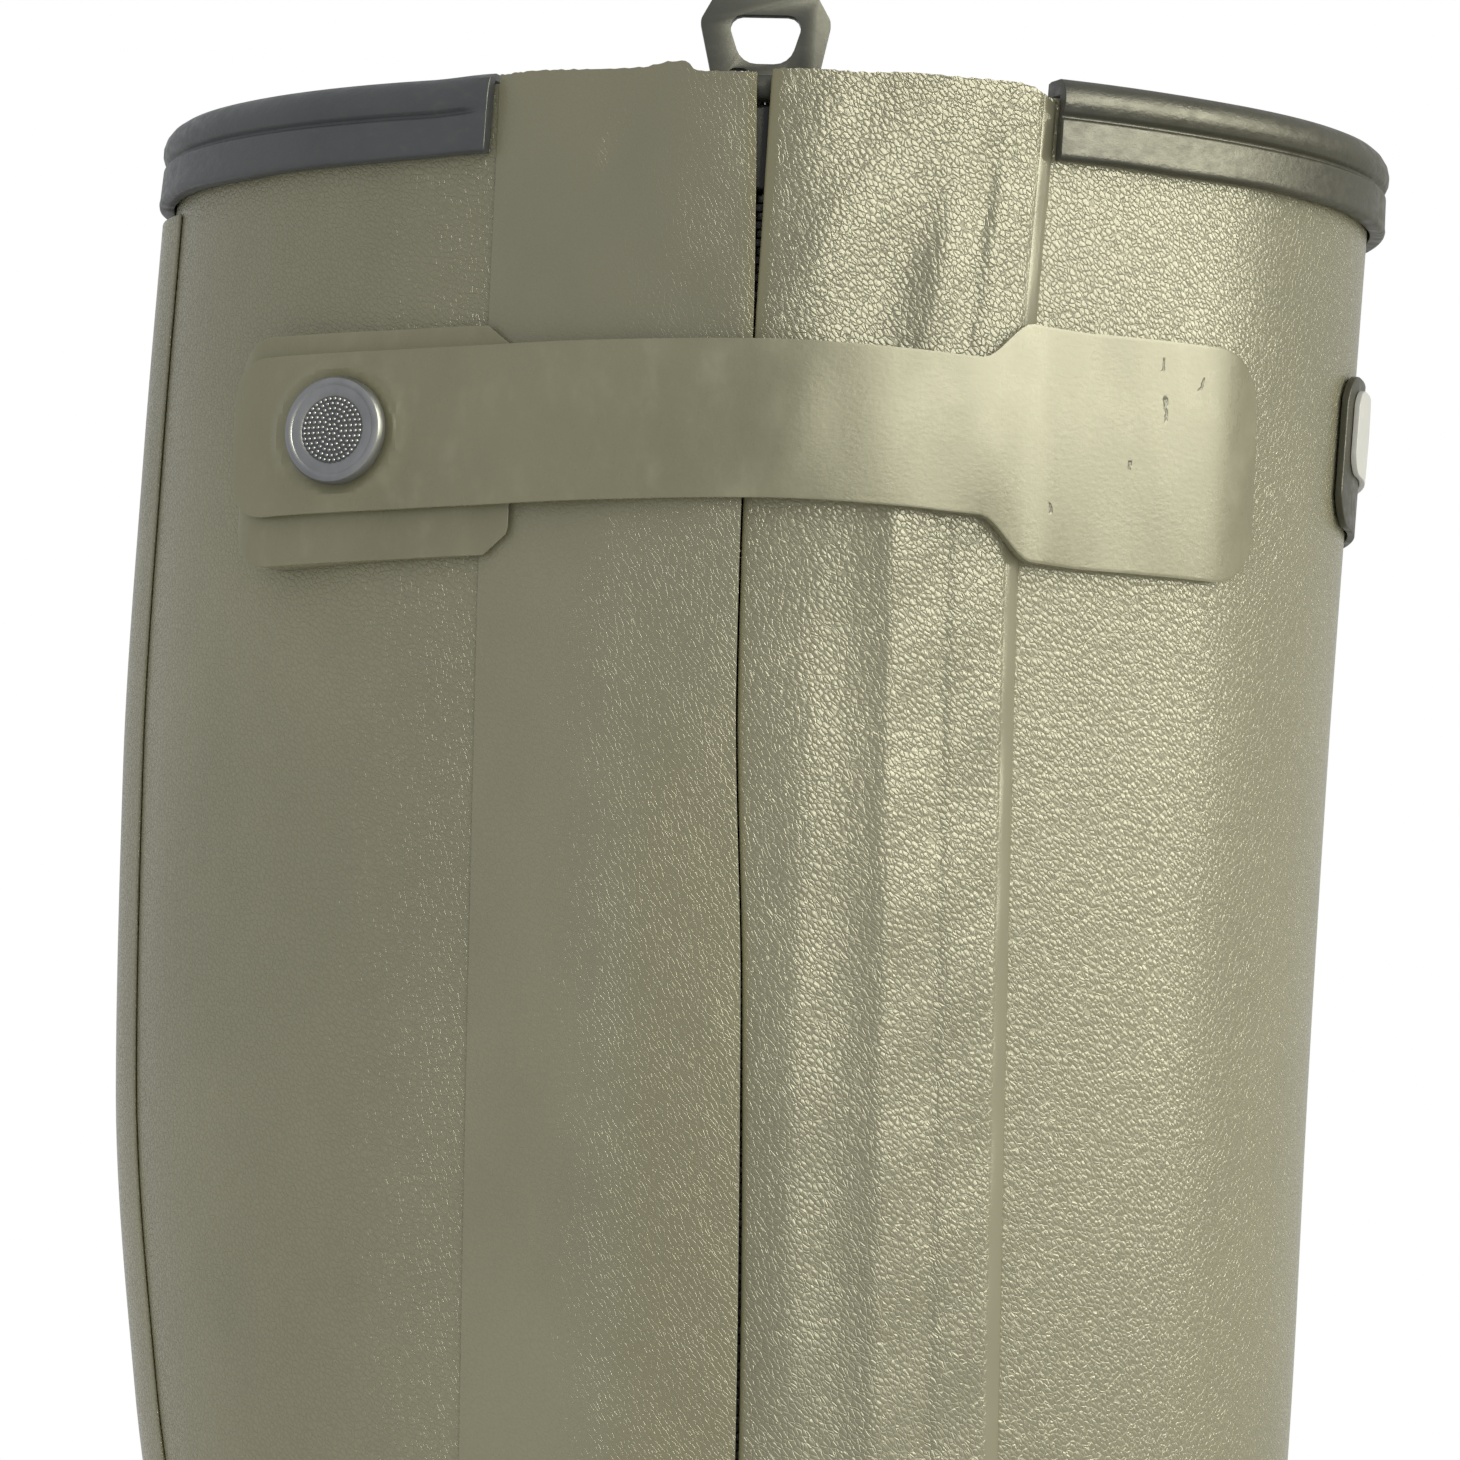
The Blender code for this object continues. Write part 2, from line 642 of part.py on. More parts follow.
def make_groove_cutter(cutters):
    """One body of bars across the sole, joined by a plate under the floor."""
    ball = [BALL_GROOVE_START + LUG_PITCH * i for i in range(BALL_GROOVES)]
    plate = bmesh.new()
    bmesh.ops.create_cube(plate, size=1.0)
    bmesh.ops.scale(plate, vec=(LENGTH * 1.2, BALL_WIDTH * 1.6, 2.0), verts=plate.verts)
    bmesh.ops.translate(plate, vec=(LENGTH / 2, 0.0, -2.0), verts=plate.verts)
    grooves = piece("groove_cutter", plate, "sole_rubber", cutters)
    for number, x in enumerate([*HEEL_GROOVES, *ball]):
        top = sole_floor(x) + LUG_DEPTH
        bar = bmesh.new()
        bmesh.ops.create_cube(bar, size=1.0)
        bmesh.ops.scale(bar, vec=(LUG_GROOVE, BALL_WIDTH * 1.4, top + 2.0), verts=bar.verts)
        bmesh.ops.translate(bar, vec=(x, 0.0, (top - 2.0) / 2), verts=bar.verts)
        boolean(grooves, piece(f"groove_bar_{number}", bar, "sole_rubber", cutters), "UNION", cutters)
    return grooves


def make_insole(parts):
    places = [x for x in seat_places() if HEEL_X + INSOLE_END < x < TOE_X - INSOLE_END]
    inset = WALL + INSOLE_CLEAR
    places = [HEEL_X] + places + [TOE_X]

    def edge(side, row, up):
        point, direction, height = seat_edge(places[row], side)
        flat = point - direction * inset
        return Vector((flat.x, flat.y, height + up))

    def corner(column, row):
        side, up = ((-1.0, 0.0), (-1.0, INSOLE_THICK), (1.0, INSOLE_THICK), (1.0, 0.0))[column % 4]
        return edge(side, row, up)

    return piece("insole", loft(4, len(places) - 1, corner), "lining", parts)


# Collar band, back strip and badge


def make_collar_band(parts):
    around = girth(0.0)[1]
    length = around[-1] - around[0]
    start, end = BAND_FRONT_END, BAND_BACK_END + length

    def corner(column, row):
        shape = BAND_PROFILE[column % len(BAND_PROFILE)]
        past = (end - start) * row / BAND_STEPS
        rim = on_leg(RIM, start + past, shape.out)
        lift = 0.0 if shape.up == GAP else np.interp(past, *zip(*BAND_LIFT))
        return rim + LEG_UP * (shape.up + float(lift))

    return piece("collar_band", loft(len(BAND_PROFILE), BAND_STEPS, corner), "dark_rubber", parts)


def leg_patch(name, finish, parts, arcs, rows, edges, under, over, turn=None):
    """A plate on the leg. edges gives its foot and top at an arc, under and over its two skins."""
    arcs = [float(a) for a in arcs]

    def skin(column, row, rise):
        arc = arcs[column]
        foot, top = edges(arc)
        height = foot + (top - foot) * row / rows
        start = 0.0 if turn is None else line_arc(height, turn)
        return on_leg(height, arc, rise(arc, height), start)

    bm = slab(
        len(arcs) - 1,
        rows,
        lambda column, row: skin(column, row, under),
        lambda column, row: skin(column, row, over),
    )
    return piece(name, bm, finish, parts)


def rounded(arc, reach, radius):
    """How far a corner of this radius draws in the edge of a plate that ends this far from its middle."""
    over = max(0.0, abs(arc) - (abs(reach) - radius)) / radius
    return radius * (1 - math.sqrt(max(0.0, 1 - min(over, 1.0) ** 2)))


def make_back_strip(parts):
    arcs = np.linspace(-STRIP_HALF, STRIP_HALF, STRIP_COLUMNS + 1)

    def place(column, row, rise):
        low_z = STRIP_TOP + (STRIP_FOOT - STRIP_TOP) * row / STRIP_ROWS
        station = float(np.interp(-low_z, -TABLE[: HEEL_CORNER + 1, 1], STATIONS[: HEEL_CORNER + 1]))
        turns, lengths = girth(round(station, 4))
        around = lengths[-1] - lengths[0]
        turn = float(np.interp(arcs[column] % around + lengths[0], lengths, turns))
        crown = 1 - STRIP_CROWN * (arcs[column] / STRIP_HALF) ** 2
        out = rise if rise == GAP else rise * crown
        return ring_point(station, turn) + outward(station, turn) * out

    bm = slab(
        STRIP_COLUMNS,
        STRIP_ROWS,
        lambda column, row: place(column, row, GAP),
        lambda column, row: place(column, row, GAP + STRIP_RISE),
    )
    return piece("back_strip", bm, "olive_rubber", parts)


def make_badge(parts):
    def plate(name, finish, middle, half_width, half_height, corner, under, over):
        inner = half_width - corner
        rounds = [inner + corner * math.sin(math.radians(a)) for a in (0, 25, 50, 70, 82)]
        arcs = [-a for a in reversed(rounds)] + [-inner / 2, 0.0, inner / 2] + rounds

        def edges(arc):
            drawn = rounded(arc, half_width, corner)
            return middle - half_height + drawn, middle + half_height - drawn

        leg_patch(
            name, finish, parts, arcs, 4, edges,
            lambda arc, height: under, lambda arc, height: over, turn=0.0,
        )

    plate(
        "badge_plate",
        "dark_rubber",
        BADGE_Z,
        BADGE_HALF_WIDTH,
        BADGE_HALF_HEIGHT,
        BADGE_ROUND,
        GAP,
        BADGE_RISE,
    )
    face = BADGE_RISE + GAP
    plate(
        "badge_panel",
        "badge_face",
        BADGE_Z + PANEL_UP,
        PANEL_HALF_WIDTH,
        PANEL_HALF_HEIGHT,
        PANEL_ROUND,
        face,
        face + PANEL_RISE,
    )


# Strap, patch and stud


def end_arcs(reach, radius):
    """Arcs where the columns of a rounded end lie, closer towards its corner."""
    side = math.copysign(1.0, reach)
    return [reach - side * radius * (1 - math.sin(math.radians(a))) for a in (0, 30, 55, 75)]


def strap_middle(arc):
    """Height of the strap's middle line."""
    return STRAP_Z - between(STRAP_COURSE, arc, "drop")


def make_strap(parts):
    front = [0.0, 6.0, 12.0, 18.0, 24.0, SHOULDER_START, 30.5, SHOULDER_END, 37.0, 42.0, 50.0, 58.0]
    back = [-6.0, -12.0, -18.0, -24.0, -30.0, -36.0, -44.0, -53.0]
    ends = [*end_arcs(STRAP_FRONT, FRONT_ROUND), *end_arcs(STRAP_BACK, BACK_ROUND)]
    arcs = sorted([*front, *back, *ends])

    def edges(arc):
        shoulder = ease((arc - SHOULDER_START) / (SHOULDER_END - SHOULDER_START))
        half = (STRAP_BAND + (STRAP_WIDE - STRAP_BAND) * shoulder) / 2
        half -= rounded(arc, STRAP_FRONT, FRONT_ROUND) if arc > 0 else rounded(arc, STRAP_BACK, BACK_ROUND)
        return strap_middle(arc) - half, strap_middle(arc) + half

    leg_patch(
        "strap", "olive_rubber", parts, arcs, 4, edges,
        lambda arc, height: between(STRAP_COURSE, arc, "under"),
        lambda arc, height: between(STRAP_COURSE, arc, "under") + between(STRAP_COURSE, arc, "thick"),
    )


def make_strap_patch(parts):
    arcs = sorted([PATCH_START, *PATCH_ARCS, *end_arcs(STRAP_BACK, BACK_ROUND)])

    def edges(arc):
        half = PATCH_TALL / 2 - rounded(arc, STRAP_BACK, BACK_ROUND)
        return PATCH_Z - half, PATCH_Z + half

    leg_patch(
        "strap_patch", "olive_rubber", parts, arcs, 4, edges,
        lambda arc, height: GAP, lambda arc, height: between(STRAP_COURSE, arc, "under") - GAP,
    )


def facing(obj, point, normal):
    """Turns an object's z axis to a normal and places it at a point in millimetres."""
    turned = normal.to_track_quat("Z", "Y").to_matrix().to_4x4()
    obj.matrix_world = Matrix.Translation(point * MM) @ turned


def strap_face(arc, up):
    """A point of the strap's face at this arc, up from its middle line."""
    rise = between(STRAP_COURSE, arc, "under") + between(STRAP_COURSE, arc, "thick")
    return on_leg(strap_middle(arc) + up, arc, rise)


def make_stud(parts):
    bm = bmesh.new()
    bmesh.ops.create_cone(
        bm, cap_ends=True, segments=24, radius1=STUD_RADIUS, radius2=STUD_RADIUS, depth=STUD_HEIGHT
    )
    rim = [e for e in bm.edges if all(v.co.z > 0 for v in e.verts)]
    bmesh.ops.bevel(
        bm, geom=rim, offset=STUD_EDGE, segments=2, profile=0.5, affect="EDGES", material=-1
    )
    stud = piece("stud_cap", bm, "stud_metal", parts)
    along = strap_face(STUD_ARC + STUD_REACH, 0.0) - strap_face(STUD_ARC - STUD_REACH, 0.0)
    up = strap_face(STUD_ARC, STUD_REACH) - strap_face(STUD_ARC, -STUD_REACH)
    normal = along.cross(up).normalized()
    facing(stud, strap_face(STUD_ARC, 0.0) + normal * (GAP + STUD_HEIGHT / 2), normal)


# Zip


def flap_opening(height):
    """Half the gap between the two covers."""
    spread = ease((height - FLAP_CLOSES_AT) / (FLAP_TOP - FLAP_CLOSES_AT))
    return FLAP_OPEN_LOW + (FLAP_OPEN_TOP - FLAP_OPEN_LOW) * spread


def make_flap(name, side, parts):
    edge = name.rsplit("_", 1)[-1]
    heights = [row.height for row in FLAP_WIDTHS]
    widths = [getattr(row, edge) for row in FLAP_WIDTHS]

    def skin(column, row, rise):
        share = FLAP_FOLDS[column].share
        t = row / FLAP_ROWS
        height = FLAP_FOOT + (FLAP_TOP - FLAP_FOOT) * t
        width = float(np.interp(height, heights, widths))
        inner = flap_opening(height)
        arc = inner + (width - inner) * share
        drawn = rounded(arc, width, FLAP_CORNER) * (1 - t) ** FLAP_CORNER_FADE
        back = float(np.interp(height, *zip(*FLAP_BOW))) * (1 - share)
        return on_leg(height + drawn, side * arc - back, rise)

    bm = slab(
        len(FLAP_FOLDS) - 1,
        FLAP_ROWS,
        lambda column, row: skin(column, row, GAP),
        lambda column, row: skin(column, row, FLAP_FOLDS[column].rise),
    )
    return piece(name, bm, "olive_rubber", parts)


def zip_strip(name, finish, side, near, far, foot, top, out_near, out_far, parts):
    """A straight strip beside the zip's line, set out on the leg's own surface."""
    arcs = np.linspace(near, far, 4 if far > CHAIN_WIDTH else 2)

    def skin(column, row, out):
        height = foot + (top - foot) * row / ZIP_ROWS
        return on_leg(height, side * float(arcs[column]), out)

    bm = slab(
        len(arcs) - 1,
        ZIP_ROWS,
        lambda column, row: skin(column, row, out_near),
        lambda column, row: skin(column, row, out_far),
    )
    return piece(name, bm, finish, parts)


def make_zip_strips(parts):
    back_face = -WALL - TAPE_CLEAR
    chain_top = SLIDER_TOP - SLIDER_LENGTH - GAP
    for name, side in (("front", 1.0), ("back", -1.0)):
        zip_strip(
            f"zip_tape_{name}", "zip_black", side, GAP / 2, TAPE_REACH,
            SLOT_FOOT - TAPE_BELOW, TAPE_TOP, back_face - TAPE_THICK, back_face, parts,
        )
        zip_strip(
            f"zip_chain_{name}", "zip_black", side, GAP / 2, CHAIN_WIDTH,
            SLOT_FOOT + CHAIN_ABOVE, chain_top, back_face + GAP, back_face + GAP + CHAIN_DEPTH, parts,
        )


def slider_frame():
    """The frame of the slider and the tab: its origin on the shaft's outside at the top of the zip."""
    outside = on_leg(RIM, 0.0, 0.0)
    foot = Vector((zip_x(0.0), outside.y, 0.0)) * MM
    return Matrix.Translation(foot) @ Matrix.Rotation(lean(), 4, "Y")


def pin_frame():
    """The slider's frame moved to the pull tab's pin, which is the tab's hinge."""
    return slider_frame() @ Matrix.Translation(Vector((0, PIN_IN, PIN_UP)) * MM)


def block(name, low, high, finish, group, bevel=0.0):
    bm = bmesh.new()
    bmesh.ops.create_cube(bm, size=1.0)
    size = Vector(high) - Vector(low)
    bmesh.ops.scale(bm, vec=size, verts=bm.verts)
    bmesh.ops.translate(bm, vec=(Vector(high) + Vector(low)) / 2, verts=bm.verts)
    if bevel:
        bmesh.ops.bevel(
            bm, geom=bm.edges[:], offset=bevel, segments=1, profile=0.5, affect="EDGES", material=-1
        )
    return piece(name, bm, finish, group)


def rod(name, centre, axis, radius, length, finish, group, segments=16):
    bm = bmesh.new()
    bmesh.ops.create_cone(
        bm, cap_ends=True, segments=segments, radius1=radius, radius2=radius, depth=length
    )
    turn = Vector(axis).to_track_quat("Z", "Y").to_matrix()
    bmesh.ops.rotate(bm, matrix=turn, verts=bm.verts)
    bmesh.ops.translate(bm, vec=centre, verts=bm.verts)
    return piece(name, bm, finish, group)


def make_slider(parts, cutters):
    half = SLIDER_WIDTH / 2
    slider = block(
        "zip_slider",
        (-half, WALL - SLIDER_DEPTH, SLIDER_TOP - SLIDER_LENGTH),
        (half, WALL, SLIDER_TOP),
        "dark_rubber",
        parts,
        bevel=SLIDER_EDGE,
    )
    extras = []
    for name, side in (("left", -1.0), ("right", 1.0)):
        place = side * EAR_PLACE
        extras.append(
            block(
                f"ear_{name}",
                (place - EAR_RADIUS, PIN_IN - EAR_DEPTH / 2, SLIDER_TOP - EAR_SUNK),
                (place + EAR_RADIUS, PIN_IN + EAR_DEPTH / 2, EAR_TOP - EAR_RADIUS),
                "dark_rubber",
                cutters,
            )
        )
        extras.append(
            rod(
                f"ear_top_{name}", (place, PIN_IN, EAR_TOP - EAR_RADIUS), (0, 1, 0),
                EAR_RADIUS, EAR_DEPTH, "dark_rubber", cutters,
            )
        )
    extras.append(
        rod("pin", (0, PIN_IN, PIN_UP), (1, 0, 0), PIN_RADIUS, 2 * EAR_PLACE, "dark_rubber", cutters)
    )
    for extra in extras:
        boolean(slider, extra, "UNION", cutters)
    for obj in [slider, *extras]:
        obj.matrix_world = slider_frame()


def outline_points(corners, radii, steps=4):
    """A closed outline with each corner rounded by an arc of its own radius."""
    points = []
    count = len(corners)
    for i, (corner, radius) in enumerate(zip(corners, radii)):
        here = Vector(corner)
        before = (Vector(corners[i - 1]) - here).normalized()
        after = (Vector(corners[(i + 1) % count]) - here).normalized()
        if radius == 0:
            points.append(here)
            continue
        half = before.angle(after) / 2
        reach = radius / math.tan(half)
        centre = here + (before + after).normalized() * radius / math.sin(half)
        start, end = here + before * reach - centre, here + after * reach - centre
        sweep = start.angle_signed(end)
        for k in range(steps + 1):
            points.append(centre + Matrix.Rotation(-sweep * k / steps, 2) @ start)
    return points


def make_pull_tab(parts, cutters):
    notch = EAR_RADIUS + EYE_CLEAR
    inner, outer = EAR_PLACE - notch, EAR_PLACE + notch
    crown = EAR_TOP + EYE_CLEAR
    right = [
        (TAB_HALF_TOP, TAB_TOP), (TAB_HALF_WIDE, TAB_SHOULDER), (TAB_HALF_FOOT, TAB_FOOT),
        (outer, TAB_FOOT), (outer, crown), (inner, crown), (inner, TAB_FOOT),
    ]
    right_round = [2.0, 1.6, 0.8, 0.0, 0.9, 0.9, 0.0]
    corners = right + [(-x, z) for x, z in reversed(right)]
    radii = right_round + right_round[::-1]
    hole_top = TAB_TOP - TAB_BAR
    hole = [
        (TAB_HALF_WIDE - TAB_BAR, hole_top), (TAB_HALF_FOOT - TAB_BAR, TAB_HOLE_FOOT),
        (TAB_BAR - TAB_HALF_FOOT, TAB_HOLE_FOOT), (TAB_BAR - TAB_HALF_WIDE, hole_top),
    ]
    hole_round = [1.6, 2.6, 2.6, 1.6]
    curve = bpy.data.curves.new("tab_outline", "CURVE")
    curve.dimensions = "2D"
    curve.fill_mode = "BOTH"
    curve.extrude = TAB_THICK / 2 * MM
    for points in (outline_points(corners, radii), outline_points(hole, hole_round)):
        spline = curve.splines.new("POLY")
        spline.points.add(len(points) - 1)
        spline.use_cyclic_u = True
        for target, (x, z) in zip(spline.points, points):
            target.co = (x * MM, z * MM, 0.0, 1.0)
    flat = bpy.data.objects.new("tab_outline", curve)
    parts.objects.link(flat)
    stand = Matrix.Rotation(math.pi / 2, 4, "X") @ Matrix.Translation((0, -PIN_UP * MM, 0))
    graph = bpy.context.evaluated_depsgraph_get()
    mesh = bpy.data.meshes.new_from_object(flat.evaluated_get(graph))
    bpy.data.objects.remove(flat)
    bm = bmesh.new()
    bm.from_mesh(mesh)
    bmesh.ops.remove_doubles(bm, verts=bm.verts, dist=0.01 * MM)
    bmesh.ops.transform(bm, matrix=stand, verts=bm.verts)
    bmesh.ops.recalc_face_normals(bm, faces=bm.faces)
    bmesh.ops.scale(bm, vec=(1 / MM, 1 / MM, 1 / MM), verts=bm.verts)
    tab = piece("zip_pull_tab", bm, "dark_rubber", parts)
    width = 2 * inner
    eye = rod("eye", (0, 0, 0), (1, 0, 0), EYE_RADIUS, width, "dark_rubber", cutters)
    bore = PIN_RADIUS + EYE_CLEAR
    hollow = rod("eye_bore", (0, 0, 0), (1, 0, 0), bore, 2 * width, "dark_rubber", cutters)
    boolean(tab, eye, "UNION", cutters)
    boolean(tab, hollow, "DIFFERENCE", cutters)
    for obj in (tab, eye, hollow):
        obj.matrix_world = pin_frame()


# Assembly


def stand_on_origin(objects):
    """Parents everything to an empty, so that the middle of the boot's box stands on the origin."""
    bpy.context.view_layer.update()
    graph = bpy.context.evaluated_depsgraph_get()
    corners = []
    for obj in objects:
        if not obj.hide_render:
            seen = obj.evaluated_get(graph)
            corners += [seen.matrix_world @ Vector(c) for c in seen.bound_box]
    low = Vector(min(c[i] for c in corners) for i in range(3))
    high = Vector(max(c[i] for c in corners) for i in range(3))
    boot = bpy.data.objects.new("boot", None)
    bpy.context.scene.collection.objects.link(boot)
    for obj in objects:
        obj.parent = boot
    boot.location = (-(low.x + high.x) / 2, -(low.y + high.y) / 2, -low.z)


def main():
    for obj in list(bpy.data.objects):
        bpy.data.objects.remove(obj)
    parts = collection("wellington_boot")
    cutters = collection("cutters")
    make_upper(parts, cutters)
    make_outsole(parts, cutters)
    make_insole(parts)
    make_collar_band(parts)
    make_back_strip(parts)
    make_badge(parts)
    make_flap("zip_flap_front", 1.0, parts)
    make_flap("zip_flap_back", -1.0, parts)
    make_zip_strips(parts)
    make_slider(parts, cutters)
    make_pull_tab(parts, cutters)
    make_strap_patch(parts)
    make_strap(parts)
    make_stud(parts)
    stand_on_origin([*parts.objects, *cutters.objects])


main()
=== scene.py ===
"""Dresses a right wellington boot: grained rubber leg and foot, side zip under two covers, strap and stud.

Sizes are in millimetres in the boot's own frame: x = 0 lies at the back of the heel, the toe points
along +X, the outer side with the zip faces -Y and the sole stands on z = 0.
"""

from __future__ import annotations

import json
import logging
import math
from dataclasses import dataclass, field
from enum import Enum
from typing import Callable, NamedTuple, Sequence, Union

import bmesh
import bpy
import numpy as np
from mathutils import Matrix, Vector

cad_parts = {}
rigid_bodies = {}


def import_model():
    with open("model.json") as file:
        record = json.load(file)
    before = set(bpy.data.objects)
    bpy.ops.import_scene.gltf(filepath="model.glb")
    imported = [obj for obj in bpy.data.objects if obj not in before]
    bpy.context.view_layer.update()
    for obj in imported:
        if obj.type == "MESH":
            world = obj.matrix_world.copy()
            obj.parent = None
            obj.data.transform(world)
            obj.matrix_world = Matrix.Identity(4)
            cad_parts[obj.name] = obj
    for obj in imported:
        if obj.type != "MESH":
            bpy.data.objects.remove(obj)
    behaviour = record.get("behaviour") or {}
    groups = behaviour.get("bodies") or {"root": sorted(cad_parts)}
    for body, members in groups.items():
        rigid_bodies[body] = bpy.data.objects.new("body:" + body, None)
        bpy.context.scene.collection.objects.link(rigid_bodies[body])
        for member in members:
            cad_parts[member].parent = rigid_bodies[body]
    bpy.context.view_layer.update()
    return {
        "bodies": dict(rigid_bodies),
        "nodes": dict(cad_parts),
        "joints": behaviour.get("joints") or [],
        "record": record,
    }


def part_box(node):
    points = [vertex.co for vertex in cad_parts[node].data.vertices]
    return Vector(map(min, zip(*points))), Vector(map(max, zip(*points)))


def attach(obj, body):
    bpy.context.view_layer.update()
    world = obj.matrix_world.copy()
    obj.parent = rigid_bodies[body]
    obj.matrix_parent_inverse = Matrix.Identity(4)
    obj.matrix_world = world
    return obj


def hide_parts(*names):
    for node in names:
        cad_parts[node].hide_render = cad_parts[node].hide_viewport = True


log = logging.getLogger("wellington")

Array = np.ndarray
Material = bpy.types.Material
Socket = bpy.types.NodeSocket
Verts = Sequence[bmesh.types.BMVert]
Feed = Union[Socket, float, Sequence[float]]
Colour = tuple[float, float, float]
Pairs = tuple[tuple[float, float], ...]
Triples = tuple[tuple[float, float, float], ...]
Skin = Callable[[Array, Array], Array]

# Metres in a millimetre
MM = 0.001
# Room between bonded pieces, and how close a thin edge is laid to the leg
GAP = 0.35
LAID = 0.08
# The upper's wall and the sole's margin round it
WALL = 4.0
WELT = 4.0
# Distance within which points are joined, and the smallest length that has a direction
JOINED = 0.01
TINY = 1e-6
# Steps across a rounded edge
BEVEL_STEPS = 3


class Slot(Enum):
    """Material slots of the record."""

    OLIVE_RUBBER = "olive_rubber"
    OLIVE_SATIN = "olive_satin"
    DARK_RUBBER = "dark_rubber"
    SOLE_RUBBER = "sole_rubber"
    LINING = "lining"
    ZIP_TAPE = "zip_tape"
    ZIP_CHAIN = "zip_chain"
    DARK_TRIM = "dark_trim"
    STUD_METAL = "stud_metal"
    BADGE_FACE = "badge_face"


class Body(Enum):
    """Bodies of the frame."""

    BOOT = "boot"
    PULL_TAB = "pull_tab"


class Line(Enum):
    """Upright lines on the leg that arcs are measured from."""

    ZIP = "zip"
    SHIN = "shin"
    BACK = "back"


# Curves and tables


def tangents(xs: Array, table: Array) -> Array:
    """Slopes of a cubic through the rows of a table that never overshoots them.

    Args:
        xs: Where the rows lie.
        table: One row of values for each place.

    Returns:
        A slope for each value of the table.
    """
    steps = np.diff(xs)[:, None]
    rates = np.diff(table, axis=0) / steps
    before, after = rates[:-1], rates[1:]
    near = 2 * steps[1:] + steps[:-1]
    far = steps[1:] + 2 * steps[:-1]
    slopes = np.zeros_like(table)
    with np.errstate(divide="ignore", invalid="ignore"):
        mean = (near + far) / (near / before + far / after)
    slopes[1:-1] = np.where(before * after > 0, mean, 0.0)
    slopes[0], slopes[-1] = rates[0], rates[-1]
    return slopes


def through(at: Array, xs: Array, table: Array, slopes: Array) -> Array:
    """Reads the cubic through a table.

    Args:
        at: Places to read, one for each row that comes back.
        xs: Where the table's rows lie.
        table: The table.
        slopes: Its tangents.

    Returns:
        The table's values at each place.
    """
    i = np.clip(np.searchsorted(xs, at) - 1, 0, len(xs) - 2)
    step = (xs[i + 1] - xs[i])[:, None]
    t = (at - xs[i])[:, None] / step
    return (
        table[i] * (2 * t**3 - 3 * t**2 + 1)
        + slopes[i] * step * (t**3 - 2 * t**2 + t)
        + table[i + 1] * (3 * t**2 - 2 * t**3)
        + slopes[i + 1] * step * (t**3 - t**2)
    )


def smooth(at: Array, rows: Pairs) -> Array:
    """Reads a short table of pairs with a smooth curve.

    Args:
        at: Places to read.
        rows: Pairs of a place and a value, in rising order.

    Returns:
        The values, held level beyond the table's ends.
    """
    xs, ys = np.array(rows, float).T
    table = ys[:, None]
    flat = np.clip(np.ravel(at).astype(float), xs[0], xs[-1])
    return through(flat, xs, table, tangents(xs, table))[:, 0].reshape(np.shape(at))


def ease(t: Array) -> Array:
    """A soft step from 0 to 1."""
    t = np.clip(t, 0.0, 1.0)
    return t * t * (3 - 2 * t)


def gathered(count: int, ends: float = 0.5) -> Array:
    """Shares from 0 to 1 that lie closer together at both ends.

    Args:
        count: How many steps.
        ends: How much they gather, from 0 to 1.

    Returns:
        count + 1 shares.
    """
    t = np.linspace(0, 1, count + 1)
    return (1 - ends) * t + ends * (1 - np.cos(math.pi * t)) / 2


def waves(at: Array, rows: Triples) -> Array:
    """A sum of sine waves, each given by its height, its rate and its start."""
    return sum(height * np.sin(at * rate + start) for height, rate, start in rows)


def corner_draw(away: Array, reach: float, radius: float) -> Array:
    """How far a rounded corner draws in the edge of a plate.

    Args:
        away: Distance from the plate's middle.
        reach: Half the plate's length.
        radius: The corner's radius.

    Returns:
        The draw at each place.
    """
    over = np.clip((np.abs(away) - (reach - radius)) / radius, 0.0, 1.0)
    return radius * (1 - np.sqrt(1 - over**2))


def corner_steps(count: int = 9) -> Array:
    """Shares from 0 to 1 that follow a rounded corner."""
    return 1 - np.cos(np.linspace(0, math.pi / 2, count))


# The surface that every piece follows


class Section(NamedTuple):
    """Columns of the cuts through the upper."""

    low_x: Array
    low_z: Array
    high_x: Array
    high_z: Array
    lateral: Array
    medial: Array
    seat_lateral: Array
    seat_medial: Array
    mid_y: Array
    belly: Array
    square: Array


